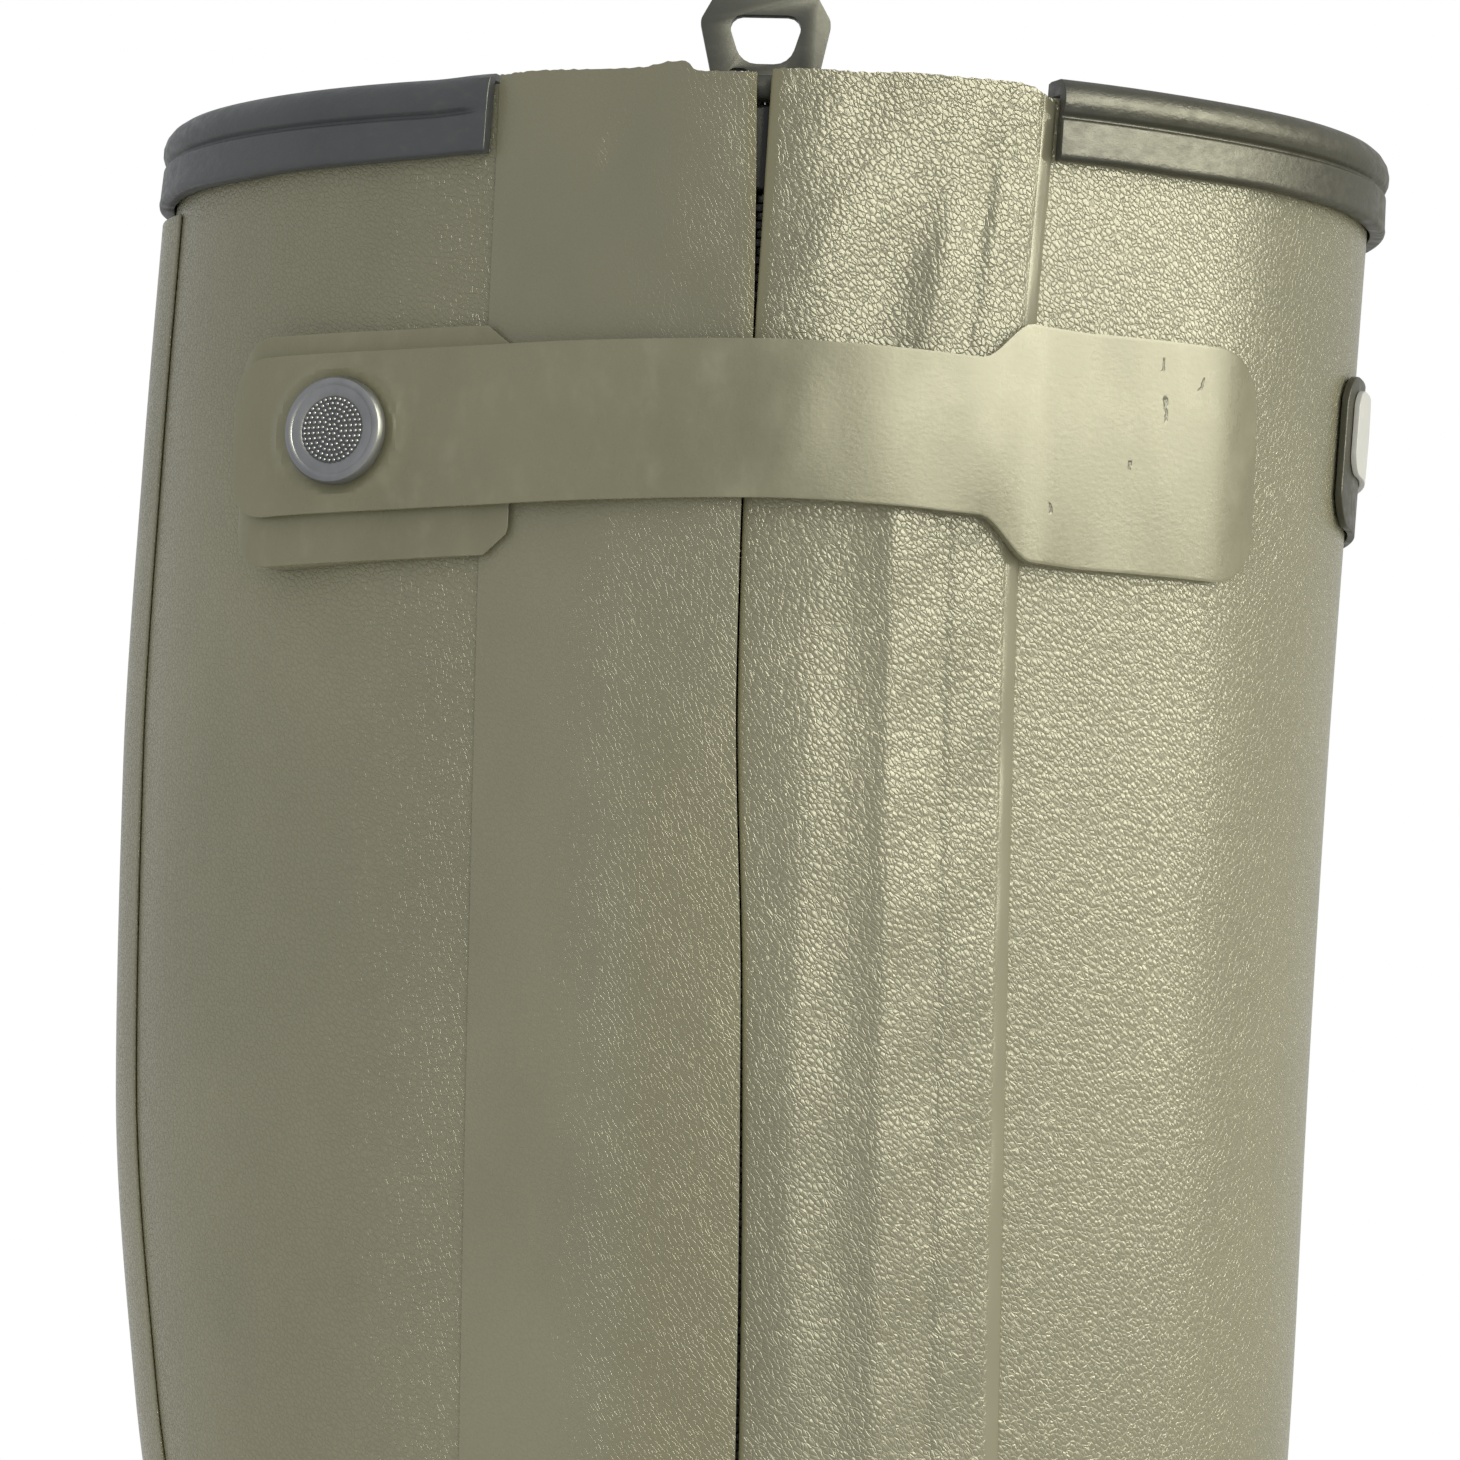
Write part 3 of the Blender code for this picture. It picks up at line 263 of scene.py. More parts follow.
# x in percent of the length, z of the height and widths of the ball's
SECTIONS = (
    (1.07, 100.40, 51.90, 99.40, 58.0, 58.0, 34.0, 34.0, 0.0, 0.50, 2.0),
    (-0.03, 90.00, 50.87, 89.75, 58.0, 58.0, 34.0, 34.0, 0.0, 0.50, 2.0),
    (-0.83, 80.00, 49.87, 80.00, 57.0, 57.0, 34.0, 34.0, 0.0, 0.50, 2.0),
    (-1.07, 70.00, 49.00, 70.00, 55.5, 55.5, 34.0, 34.0, 0.0, 0.50, 2.0),
    (-0.20, 60.25, 48.23, 59.75, 53.0, 53.0, 34.0, 34.0, 0.0, 0.50, 2.0),
    (1.83, 50.25, 47.17, 50.00, 49.5, 49.5, 34.0, 34.0, 0.0, 0.50, 2.0),
    (3.67, 41.25, 46.40, 43.00, 46.0, 46.0, 34.0, 34.0, 0.0, 0.50, 2.0),
    (4.50, 33.25, 46.67, 40.13, 43.5, 43.5, 34.0, 34.0, 0.0, 0.48, 2.0),
    (3.83, 24.50, 47.40, 38.13, 41.5, 41.5, 34.0, 34.0, 0.0, 0.42, 2.0),
    (2.67, 16.00, 48.40, 36.63, 40.0, 40.0, 34.0, 34.0, 0.0, 0.36, 2.0),
    (2.00, 8.25, 49.60, 35.25, 39.5, 39.0, 34.0, 34.0, 0.0, 0.31, 2.1),
    (13.33, 8.00, 51.00, 33.88, 40.0, 38.5, 34.0, 33.5, 0.0, 0.30, 2.1),
    (26.00, 7.38, 53.17, 32.00, 40.5, 37.0, 35.0, 32.0, 0.0, 0.30, 2.1),
    (37.33, 6.13, 56.17, 29.63, 42.0, 37.0, 37.5, 31.5, 0.0, 0.30, 2.1),
    (48.33, 4.88, 60.50, 27.00, 45.5, 40.0, 42.0, 35.5, 0.0, 0.30, 2.1),
    (58.33, 4.25, 66.00, 24.38, 49.0, 45.0, 46.0, 42.0, 0.0, 0.30, 2.1),
    (67.33, 4.13, 72.33, 22.00, 50.5, 48.0, 48.0, 45.5, 1.0, 0.30, 2.15),
    (76.00, 4.25, 79.00, 19.88, 49.5, 47.0, 47.0, 45.0, 2.5, 0.32, 2.2),
    (83.33, 4.63, 85.00, 18.13, 46.0, 44.0, 44.0, 42.5, 4.0, 0.34, 2.2),
    (90.00, 5.25, 90.33, 16.10, 42.0, 41.0, 40.0, 39.0, 5.5, 0.36, 2.2),
    (94.40, 5.75, 94.80, 13.60, 40.0, 39.5, 38.0, 37.5, 6.3, 0.38, 2.2),
    (97.33, 6.25, 97.33, 9.00, 38.0, 38.0, 36.0, 36.0, 7.0, 0.40, 2.1),
)
HEEL_CORNER = 10


@dataclass
class Last:
    """The outside of the upper. A station runs from the collar round the heel to the toe.

    A turn runs from -1, the outer seat edge or the back of the leg, over the shin to 1.
    """

    length: float = 300.0
    height: float = 400.0
    ball_width: float = 100.0
    heel_round: float = 36.0
    toe_round: float = 54.0
    toe_power: float = 2.2
    zip_low: tuple[float, float] = (74.1, 224.0)
    zip_top: tuple[float, float] = (77.7, 400.0)
    reach: float = 1.0
    reach_turn: float = 0.03
    foot_gather: float = 0.85
    chart_rows: int = 260
    chart_turns: int = 1441
    chart_reach: float = 340.0
    chart_step: float = 0.5
    outer_turns: tuple[float, float] = (-0.83, -0.17)
    rim_reach: float = 20.0

    def __post_init__(self) -> None:
        """Works out the table in millimetres and the chart of the leg."""
        sizes = [self.length, self.height] * 2 + [self.ball_width] * 5 + [100.0] * 2
        self.table = np.array(SECTIONS) * np.array(sizes) / 100.0
        low = np.linalg.norm(np.diff(self.table[:, 0:2], axis=0), axis=1)
        high = np.linalg.norm(np.diff(self.table[:, 2:4], axis=0), axis=1)
        self.stations = np.concatenate([[0.0], np.cumsum((low + high) / 2)])
        self.slopes = tangents(self.stations, self.table)
        self.heel = float(self.stations[HEEL_CORNER])
        self.toe = float(self.stations[-1])
        cut = Section(*self.table.T)
        self.heel_x, self.toe_x = float(cut.low_x[HEEL_CORNER]), float(cut.low_x[-1])
        self.inner_side = float(cut.medial.max())
        self.back_z = cut.low_z[: HEEL_CORNER + 1]
        self._chart()

    def rows(self, stations: Array) -> Array:
        """Sections at these stations, with heel and toe rounded in plan.

        Args:
            stations: Places along the upper.

        Returns:
            A row of section values for each.
        """
        made = through(stations, self.stations, self.table, self.slopes)
        toe = np.clip((made[:, 0] - self.toe_x + self.toe_round) / self.toe_round, 0.0, 1.0)
        toe_share = (1 - toe**self.toe_power) ** (1 / self.toe_power)
        heel = np.clip((self.heel_x + self.heel_round - made[:, 0]) / self.heel_round, 0.0, 1.0)
        heel_share = np.where(stations > self.heel, np.sqrt(1 - heel**2), 0.0)
        made[:, 4:8] *= toe_share[:, None]
        made[:, 6:8] *= heel_share[:, None]
        return made

    def points(self, stations: Array, turns: Array) -> Array:
        """Points of the outside.

        Args:
            stations: A station for each point.
            turns: A turn for each point.

        Returns:
            Their places.
        """
        cut = Section(*self.rows(stations).T)
        away = np.abs(turns)
        outer = turns < 0
        wide = np.where(outer, cut.lateral, cut.medial)
        seat = np.where(outer, cut.seat_lateral, cut.seat_medial)
        power = 2.0 / cut.square
        angle = np.minimum(away, 1 - away) * math.pi
        level = np.clip(np.cos(angle), 0, 1) ** power
        swell = np.clip(np.sin(angle), 0, 1) ** power
        above = away <= 0.5
        share = np.where(above, cut.belly + (1 - cut.belly) * level, cut.belly * (1 - level))
        half = np.where(above, wide * swell, seat + (wide - seat) * swell)
        x = cut.low_x + (cut.high_x - cut.low_x) * share
        z = cut.low_z + (cut.high_z - cut.low_z) * share
        return np.stack([x, cut.mid_y + np.where(outer, -half, half), z], axis=1)

    def normals(self, stations: Array, turns: Array) -> Array:
        """Unit normals of the outside.

        Args:
            stations: A station for each point.
            turns: A turn for each point.

        Returns:
            Their outward directions.
        """
        foot = stations > self.heel
        low = np.maximum(stations - self.reach, 0.0)
        high = np.minimum(stations + self.reach, self.toe)
        left, right = turns - self.reach_turn, turns + self.reach_turn
        left = np.where(foot, np.maximum(left, -1.0), (left + 1) % 2 - 1)
        right = np.where(foot, np.minimum(right, 1.0), (right + 1) % 2 - 1)
        along = self.points(high, turns) - self.points(low, turns)
        across = self.points(stations, right) - self.points(stations, left)
        made = np.cross(along, across)
        size = np.linalg.norm(made, axis=1, keepdims=True)
        return np.where(size > TINY, made / np.maximum(size, TINY), (1.0, 0.0, 0.0))

    def zip_x(self, z: Array) -> Array:
        """Where the zip's line lies in the side view."""
        rate = (self.zip_top[0] - self.zip_low[0]) / (self.zip_top[1] - self.zip_low[1])
        return self.zip_low[0] + rate * (z - self.zip_low[1])

    def _chart(self) -> None:
        """Charts the leg by station and by arc from the zip. Turns run past the back, so it has no seam."""
        self.leg = np.linspace(0, self.heel, self.chart_rows)
        turns = np.linspace(-2, 2, self.chart_turns)
        wrapped = (turns + 1) % 2 - 1
        outer = (turns > self.outer_turns[0]) & (turns < self.outer_turns[1])
        self.arcs = np.arange(-self.chart_reach, self.chart_reach, self.chart_step)
        turn_rows, zip_z, shin, back = [], [], [], []
        for station in self.leg:
            points = self.points(np.full(len(turns), station), wrapped)
            arcs = np.concatenate([[0.0], np.cumsum(np.linalg.norm(np.diff(points, axis=0), axis=1))])
            ahead = points[outer, 0] - self.zip_x(points[outer, 2])
            arcs -= np.interp(0.0, ahead, arcs[outer])
            turn_rows.append(np.interp(self.arcs, arcs, turns))
            zip_z.append(np.interp(0.0, arcs, points[:, 2]))
            shin.append(np.interp(0.0, turns, arcs))
            back.append(np.interp(-1.0, turns, arcs))
        self.turn_chart = np.array(turn_rows)
        self.zip_z = np.array(zip_z)
        self.line_arcs = {Line.SHIN: np.array(shin), Line.BACK: np.array(back)}
        self.rim = float(self.zip_z[0])
        ends = self.points(np.array([0.0, self.rim_reach]), np.array([-0.5, -0.5]))
        self.up = (ends[0] - ends[1]) / np.linalg.norm(ends[0] - ends[1])

    def station_at(self, heights: Array) -> Array:
        """Stations where the zip's line has these heights."""
        return np.interp(-np.asarray(heights, float), -self.zip_z, self.leg)

    def turn_at(self, stations: Array, arcs: Array) -> Array:
        """Reads the chart of the leg.

        Args:
            stations: Places along the leg.
            arcs: Distances round it from the zip.

        Returns:
            The turns there.
        """
        i = np.clip(np.searchsorted(self.leg, stations) - 1, 0, len(self.leg) - 2)
        f = np.clip((stations - self.leg[i]) / (self.leg[i + 1] - self.leg[i]), 0, 1)
        k = np.clip((arcs - self.arcs[0]) / self.chart_step, 0, len(self.arcs) - 1.001)
        j = k.astype(int)
        g = k - j
        lower = self.turn_chart[i, j] * (1 - g) + self.turn_chart[i, j + 1] * g
        upper = self.turn_chart[i + 1, j] * (1 - g) + self.turn_chart[i + 1, j + 1] * g
        return lower * (1 - f) + upper * f

    def on_leg(self, heights: Array, arcs: Array, out: Array, line: Line = Line.ZIP) -> Array:
        """Points on the leg.

        Args:
            heights: Heights, read on the zip's line.
            arcs: Distances round the leg from the line, growing towards the shin.
            out: Distances off the leg's outside.
            line: The line that the arcs start from.

        Returns:
            Their places.
        """
        heights = np.asarray(heights, float)
        made = self.at_station(self.station_at(heights), arcs, out, line)
        return made + self.up * np.maximum(heights - self.rim, 0.0)[:, None]

    def at_station(self, stations: Array, arcs: Array, out: Array, line: Line = Line.ZIP) -> Array:
        """Points on the leg by station.

        Args:
            stations: Places along the leg.
            arcs: Distances round the leg from the line, growing towards the shin.
            out: Distances off the leg's outside.
            line: The line that the arcs start from.

        Returns:
            Their places.
        """
        if line is not Line.ZIP:
            arcs = arcs + np.interp(stations, self.leg, self.line_arcs[line])
        turns = (self.turn_at(stations, arcs) + 1) % 2 - 1
        out = np.broadcast_to(np.asarray(out, float), stations.shape)
        return self.points(stations, turns) + self.normals(stations, turns) * out[:, None]

    def foot_stations(self, count: int) -> Array:
        """Stations from the heel to the toe, closer together at both ends."""
        return self.heel + (self.toe - self.heel) * gathered(count, self.foot_gather)

    def seat(self, stations: Array) -> Array:
        """The upper's lower edge.

        Args:
            stations: Places along the foot.

        Returns:
            Rows of x, outer y, inner y and height.
        """
        cut = Section(*self.rows(stations).T)
        outer, inner = cut.mid_y - cut.seat_lateral, cut.mid_y + cut.seat_medial
        return np.stack([cut.low_x, outer, inner, cut.low_z], axis=1)


# Meshes


class Sheet:
    """A bmesh grid whose points know their column and row."""

    def __init__(self, columns: int, rows: int) -> None:
        """Makes a flat grid.

        Args:
            columns: Its steps across.
            rows: Its steps along.
        """
        self.bm = bmesh.new()
        self.column_of = self.bm.verts.layers.int.new("column")
        self.row_of = self.bm.verts.layers.int.new("row")
        self.grain_of = self.bm.verts.layers.float.new("grain")
        self.tint_of = self.bm.verts.layers.float.new("tint")
        bmesh.ops.create_grid(self.bm, x_segments=columns, y_segments=rows, size=0.5)
        for vert in self.bm.verts:
            vert[self.column_of] = round((vert.co.x + 0.5) * columns)
            vert[self.row_of] = round((vert.co.y + 0.5) * rows)
            vert[self.grain_of] = 1.0

    def numbers(self, verts: Verts) -> tuple[Array, Array]:
        """Columns and rows of these points."""
        columns = np.array([vert[self.column_of] for vert in verts])
        return columns, np.array([vert[self.row_of] for vert in verts])

    def move(self, verts: Verts, places: Array) -> None:
        """Moves points to new places."""
        for vert, place in zip(verts, places.tolist()):
            vert.co = place

    def mark(self, verts: Verts, grain: Array, tint: Array) -> None:
        """Writes how much grain and tint the material shows.

        Args:
            verts: The points.
            grain: A share of the grain for each.
            tint: A share of the tint for each.
        """
        for vert, depth, hue in zip(verts, grain.tolist(), tint.tolist()):
            vert[self.grain_of] = depth
            vert[self.tint_of] = hue

    def thicken(self) -> list[bmesh.types.BMVert]:
        """Doubles the skin into a closed shell and returns the second skin's points."""
        made = bmesh.ops.extrude_face_region(self.bm, geom=self.bm.faces[:])["geom"]
        return [item for item in made if isinstance(item, bmesh.types.BMVert)]

    def weld(self) -> None:
        """Joins points that meet and turns the faces outwards."""
        bmesh.ops.remove_doubles(self.bm, verts=self.bm.verts, dist=JOINED)
        bmesh.ops.recalc_face_normals(self.bm, faces=self.bm.faces)


def plate(us: Array, vs: Array, under: Skin, over: Skin, mark: Skin | None = None) -> Sheet:
    """A closed plate between two skins.

    Args:
        us: A value for each column.
        vs: A value for each row.
        under: Gives the places of the lower skin from columns' and rows' values.
        over: Gives those of the upper skin.
        mark: Gives rows of grain and tint, where they change over the plate.

    Returns:
        The sheet that holds it.
    """
    made = Sheet(len(us) - 1, len(vs) - 1)
    lower = made.bm.verts[:]
    upper = made.thicken()
    for verts, skin in ((lower, under), (upper, over)):
        columns, rows = made.numbers(verts)
        made.move(verts, skin(us[columns], vs[rows]))
        if mark:
            made.mark(verts, *mark(us[columns], vs[rows]).T)
    bmesh.ops.recalc_face_normals(made.bm, faces=made.bm.faces)
    return made


def tube(columns: int, rows: int, place: Skin) -> Sheet:
    """A closed skin of rings, welded where points meet and capped where its ends are open.

    Args:
        columns: Steps round each ring.
        rows: Steps along the rings.
        place: Gives places from columns and rows.

    Returns:
        The sheet that holds it.
    """
    made = Sheet(columns, rows)
    numbers = made.numbers(made.bm.verts)
    made.move(made.bm.verts[:], place(numbers[0] % columns, numbers[1]))
    bmesh.ops.remove_doubles(made.bm, verts=made.bm.verts, dist=JOINED)
    rims = [edge for edge in made.bm.edges if edge.is_boundary]
    bmesh.ops.holes_fill(made.bm, edges=rims, sides=0)
    bmesh.ops.recalc_face_normals(made.bm, faces=made.bm.faces)
    return made


@dataclass
class Workshop:
    """Turns meshes in millimetres into pieces that ride on the frame, and holds the surface and finishes."""

    last: Last
    frame: dict
    palette: Palette
    shift: Vector = field(default_factory=Vector)
    copy_joined: float = 0.002
    copy_flat: float = 1.0
    copy_sharp: float = 38.0

    def __post_init__(self) -> None:
        """Finds where the boot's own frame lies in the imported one."""
        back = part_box("outsole")[0].x - (self.last.heel_x - WELT) * MM
        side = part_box("upper")[1].y - self.last.inner_side * MM
        self.shift = Vector((back, side, 0.0))

    def piece(
        self, name: str, bm: bmesh.types.BMesh, finishes: Sequence[Material],
        nodes: Sequence[str] = (), body: Body = Body.BOOT, bevel: float = 0.0, sharp: float = 40.0,
        placed: bool = False,
    ) -> bpy.types.Object:
        """Makes an object of a mesh and sets it on the frame.

        Args:
            name: The piece's name.
            bm: Its mesh, which is used up.
            finishes: Its materials.
            nodes: The CAD nodes that it stands for.
            body: The body that it rides on.
            bevel: How wide its sharp edges are rounded, in millimetres.
            sharp: The angle in degrees from which an edge counts as sharp.
            placed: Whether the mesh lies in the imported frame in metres, not in the boot's in millimetres.

        Returns:
            The object.
        """
        if not placed:
            bmesh.ops.scale(bm, vec=(MM, MM, MM), verts=bm.verts)
            bmesh.ops.translate(bm, vec=self.shift, verts=bm.verts)
        mesh = bpy.data.meshes.new(name)
        bm.to_mesh(mesh)
        bm.free()
        for layer in ("column", "row"):
            if layer in mesh.attributes:
                mesh.attributes.remove(mesh.attributes[layer])
        mesh.shade_smooth()
        obj = bpy.data.objects.new(name, mesh)
        bpy.context.scene.collection.objects.link(obj)
        for finish in finishes:
            mesh.materials.append(finish)
        if bevel:
            edges = obj.modifiers.new("Edges", "BEVEL")
            edges.width = bevel * MM
            edges.segments = BEVEL_STEPS
            edges.limit_method = "ANGLE"
            edges.angle_limit = math.radians(sharp)
        else:
            mesh.set_sharp_from_angle(angle=math.radians(sharp))
        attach(obj, body.value)
        if nodes:
            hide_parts(*nodes)
        log.info("%s: %d faces", name, len(mesh.polygons))
        return obj

    def refine(
        self, node: str, name: str, finish: Material, body: Body, bevel: float
    ) -> bpy.types.Object:
        """Rounds the edges of a copy of a small CAD node.

        Args:
            node: The node.
            name: The new piece's name.
            finish: Its material.
            body: The body that it rides on.
            bevel: How wide its edges are rounded.

        Returns:
            The object that stands for the node.
        """
        bm = bmesh.new()
        bm.from_mesh(self.frame["nodes"][node].data)
        bmesh.ops.remove_doubles(bm, verts=bm.verts, dist=self.copy_joined * MM)
        flat = math.radians(self.copy_flat)
        bmesh.ops.dissolve_limit(
            bm, angle_limit=flat, verts=bm.verts, edges=bm.edges, use_dissolve_boundaries=False
        )
        return self.piece(name, bm, [finish], [node], body, bevel, self.copy_sharp, placed=True)


# Finishes


class Graph:
    """Shorthand for wiring a node tree."""

    def __init__(self, tree: bpy.types.NodeTree) -> None:
        """Starts on a tree."""
        self.tree = tree

    def feed(self, socket: Socket, value: Feed) -> None:
        """Links a socket or sets its value.

        Args:
            socket: An input.
            value: What feeds it.
        """
        if isinstance(value, bpy.types.NodeSocket):
            self.tree.links.new(value, socket)
        elif socket.type == "RGBA":
            socket.default_value = (*value[:3], 1.0)
        else:
            socket.default_value = value

    def fill(self, node: bpy.types.Node, **inputs: Feed) -> None:
        """Feeds a node's inputs by name, with spaces written as underscores."""
        for name, value in inputs.items():
            self.feed(node.inputs[name.replace("_", " ")], value)

    def add(self, kind: str, **inputs: Feed) -> bpy.types.Node:
        """Adds a node.

        Args:
            kind: Its type.
            inputs: What feeds it, by name, with spaces written as underscores.

        Returns:
            The node.
        """
        node = self.tree.nodes.new(kind)
        self.fill(node, **inputs)
        return node

    def maths(self, operation: str, a: Feed, b: Feed = 0.0, c: Feed = 0.0) -> Socket:
        """Adds a sum.

        Args:
            operation: What it works out.
            a: Its first value.
            b: Its second value.
            c: Its third value.

        Returns:
            The result.
        """
        node = self.tree.nodes.new("ShaderNodeMath")
        node.operation = operation
        for socket, value in zip(node.inputs, (a, b, c)):
            self.feed(socket, value)
        return node.outputs[0]

    def span(self, value: Feed, low: float, high: float, start: float = 0.0, end: float = 1.0) -> Socket:
        """Maps a span of values softly to another.

        Args:
            value: What is mapped.
            low: Where the span begins.
            high: Where it ends.
            start: What its beginning becomes.
            end: What its end becomes.

        Returns:
            The mapped value.
        """
        node = self.add("ShaderNodeMapRange")
        node.interpolation_type = "SMOOTHSTEP"
        for socket, item in zip(node.inputs, (value, low, high, start, end)):
            self.feed(socket, item)
        return node.outputs[0]

    def mix(self, share: Feed, a: Feed, b: Feed, blend: str = "MIX") -> Socket:
        """Mixes two colours.

        Args:
            share: How much of the second one shows.
            a: The first colour.
            b: The second colour.
            blend: How they mix.

        Returns:
            The mixed colour.
        """
        node = self.tree.nodes.new("ShaderNodeMix")
        node.data_type = "RGBA"
        node.blend_type = blend
        self.feed(node.inputs[0], share)
        self.feed(node.inputs[6], a)
        self.feed(node.inputs[7], b)
        return node.outputs[2]

    def coords(self, size: Sequence[float], turn: Sequence[float] = (0, 0, 0)) -> Socket:
        """Object coordinates along turned axes.

        Args:
            size: The unit along each axis, in millimetres.
            turn: The axes' turn in degrees.

        Returns:
            The coordinates.
        """
        source = self.add("ShaderNodeTexCoord")
        mapping = self.add("ShaderNodeMapping", Vector=source.outputs["Object"])
        mapping.vector_type = "TEXTURE"
        mapping.inputs["Rotation"].default_value = [math.radians(a) for a in turn]
        mapping.inputs["Scale"].default_value = [s * MM for s in size]
        return mapping.outputs[0]

    def noise(self, vector: Socket, detail: float = 2.0, rough: float = 0.5) -> Socket:
        """Noise of one cell a unit."""
        node = self.add("ShaderNodeTexNoise", Vector=vector, Scale=1.0, Detail=detail, Roughness=rough)
        return node.outputs["Fac"]

    def attribute(self, name: str) -> Socket:
        """Reads a value that the mesh carries.

        Args:
            name: Its name.

        Returns:
            The value.
        """
        node = self.tree.nodes.new("ShaderNodeAttribute")
        node.attribute_name = name
        return node.outputs["Fac"]

    def bump(self, height: Feed, depth: float) -> Socket:
        """Adds a bump.

        Args:
            height: Its relief.
            depth: How deep a relief of 1 is, in millimetres.

        Returns:
            The bumped normal.
        """
        node = self.add("ShaderNodeBump", Height=height, Strength=1.0, Distance=depth * MM)
        return node.outputs[0]


class Effect(Enum):
    """Effects that several finishes share."""

    GRAIN = "Moulded grain"
    TONE = "Uneven tone"
    WEAVE = "Woven threads"


class Effects:
    """Shader node groups, each built once. Sizes and heights are in millimetres."""

    pebble = (0.95, 0.6, 0.52)
    pebble_lean = (0, 50, 0)
    wrinkle = (0.34, 0.3, 0.22)
    wrinkle_lean = (0, 52, 0)
    # Heights over which the painted shade towards the collar's top grows, in millimetres
    painted_shade_span = (325.0, 375.0)
    dust_span = (12.0, 75.0)

    @staticmethod
    def start(effect: Effect, inputs: dict[str, float], outputs: Sequence[str]) -> tuple[Graph, dict, dict]:
        """Starts a group.

        Args:
            effect: Its name.
            inputs: Its inputs and their defaults.
            outputs: Its outputs.

        Returns:
            The group's graph, its inputs inside and its outputs inside.
        """
        tree = bpy.data.node_groups.new(effect.value, "ShaderNodeTree")
        kind = "NodeSocketFloat"
        for name, value in inputs.items():
            tree.interface.new_socket(name, in_out="INPUT", socket_type=kind).default_value = value
        for name in outputs:
            tree.interface.new_socket(name, in_out="OUTPUT", socket_type=kind)
        graph = Graph(tree)
        enter = graph.add("NodeGroupInput").outputs
        leave = graph.add("NodeGroupOutput").inputs
        return graph, {name: enter[name] for name in inputs}, {name: leave[name] for name in outputs}

    @classmethod
    def grain(cls) -> None:
        """Small wrinkled pebbles that run down towards the toe, with thin creases between them."""
        graph, given, put = cls.start(Effect.GRAIN, {"Amount": 1.0, "Wander": 0.5}, ("Height", "Valley"))
        drift = graph.add("ShaderNodeTexNoise", Vector=graph.coords((1.5, 1.5, 1.5)), Scale=1.0, Detail=3.0)
        wander = graph.add("ShaderNodeCombineXYZ", X=given["Wander"], Y=given["Wander"], Z=given["Wander"])
        shifted = graph.add("ShaderNodeVectorMath")
        shifted.operation = "MULTIPLY_ADD"
        graph.feed(shifted.inputs[0], drift.outputs["Color"])
        graph.feed(shifted.inputs[1], wander.outputs[0])
        graph.feed(shifted.inputs[2], graph.coords(cls.pebble, cls.pebble_lean))
        cells = graph.add("ShaderNodeTexVoronoi", Vector=shifted.outputs[0], Scale=1.0, Randomness=1.0)
        cells.feature = "SMOOTH_F1"
        cells.inputs["Smoothness"].default_value = 0.25
        dome = graph.span(cells.outputs["Distance"], 0.12, 0.72, 1.0, 0.0)
        edges = graph.add("ShaderNodeTexVoronoi", Vector=shifted.outputs[0], Scale=1.0, Randomness=1.0)
        edges.feature = "DISTANCE_TO_EDGE"
        flat = graph.span(edges.outputs["Distance"], 0.0, 0.115)
        fine = graph.noise(graph.coords(cls.wrinkle, cls.wrinkle_lean), 3.0, 0.6)
        swell = graph.noise(graph.coords((2.6, 2.6, 2.6)), 2.0, 0.5)
        height = graph.maths("MULTIPLY_ADD", dome, 0.36, graph.maths("MULTIPLY", flat, 0.64))
        height = graph.maths("MULTIPLY_ADD", fine, 0.22, height)
        height = graph.maths("MULTIPLY_ADD", swell, 0.7, height)
        graph.feed(put["Height"], graph.maths("MULTIPLY", height, given["Amount"]))
        valley = graph.span(flat, 0.0, 0.7, 1.0, 0.0)
        graph.feed(put["Valley"], graph.maths("MULTIPLY", valley, given["Amount"]))

    @classmethod
    def tone(cls) -> None:
        """Slow changes of tone, small specks, dust that gathers low down, and a share that grows towards the
        collar's top for painted shade.
        """
        graph, given, put = cls.start(Effect.TONE, {"Spread": 34.0}, ("Tone", "Speck", "Dust", "Top"))
        slow = graph.add("ShaderNodeTexNoise", Scale=1.0, Detail=4.0, Roughness=0.55)
        scaled = graph.add("ShaderNodeVectorMath")
        scaled.operation = "SCALE"
        graph.feed(scaled.inputs[0], graph.coords((1, 1, 1.6)))
        graph.feed(scaled.inputs["Scale"], graph.maths("DIVIDE", 1.0, given["Spread"]))
        graph.feed(slow.inputs["Vector"], scaled.outputs[0])
        graph.feed(put["Tone"], graph.span(slow.outputs["Fac"], 0.3, 0.7))
        speck = graph.noise(graph.coords((1.3, 1.3, 1.3)), 3.0, 0.7)
        graph.feed(put["Speck"], graph.span(speck, 0.62, 0.8))
        height = graph.add("ShaderNodeSeparateXYZ", Vector=graph.coords((1, 1, 1))).outputs["Z"]
        # Painted shade: a share that grows towards the collar's top
        graph.feed(put["Top"], graph.span(height, *cls.painted_shade_span))
        low = graph.span(height, *cls.dust_span, 1.0, 0.0)
        patch = graph.span(graph.noise(graph.coords((14, 14, 9)), 5.0, 0.65), 0.42, 0.72)
        graph.feed(put["Dust"], graph.maths("MULTIPLY", low, patch))

    @classmethod
    def weave(cls) -> None:
        """Ribs of thread across each other."""
        graph, given, put = cls.start(Effect.WEAVE, {"Pitch": 0.8}, ("Height",))
        axes = graph.add("ShaderNodeSeparateXYZ", Vector=graph.coords((1, 1, 1))).outputs
        rate = graph.maths("DIVIDE", 2 * math.pi, given["Pitch"])
        up = graph.maths("SINE", graph.maths("MULTIPLY", axes["Z"], rate))
        side = graph.maths("ADD", axes["X"], axes["Y"])
        across = graph.maths("SINE", graph.maths("MULTIPLY", side, rate))
        threads = graph.maths("MULTIPLY", up, across)
        fluff = graph.noise(graph.coords((0.25, 0.25, 0.25)), 2.0, 0.6)
        graph.feed(put["Height"], graph.maths("MULTIPLY_ADD", fluff, 0.5, threads))

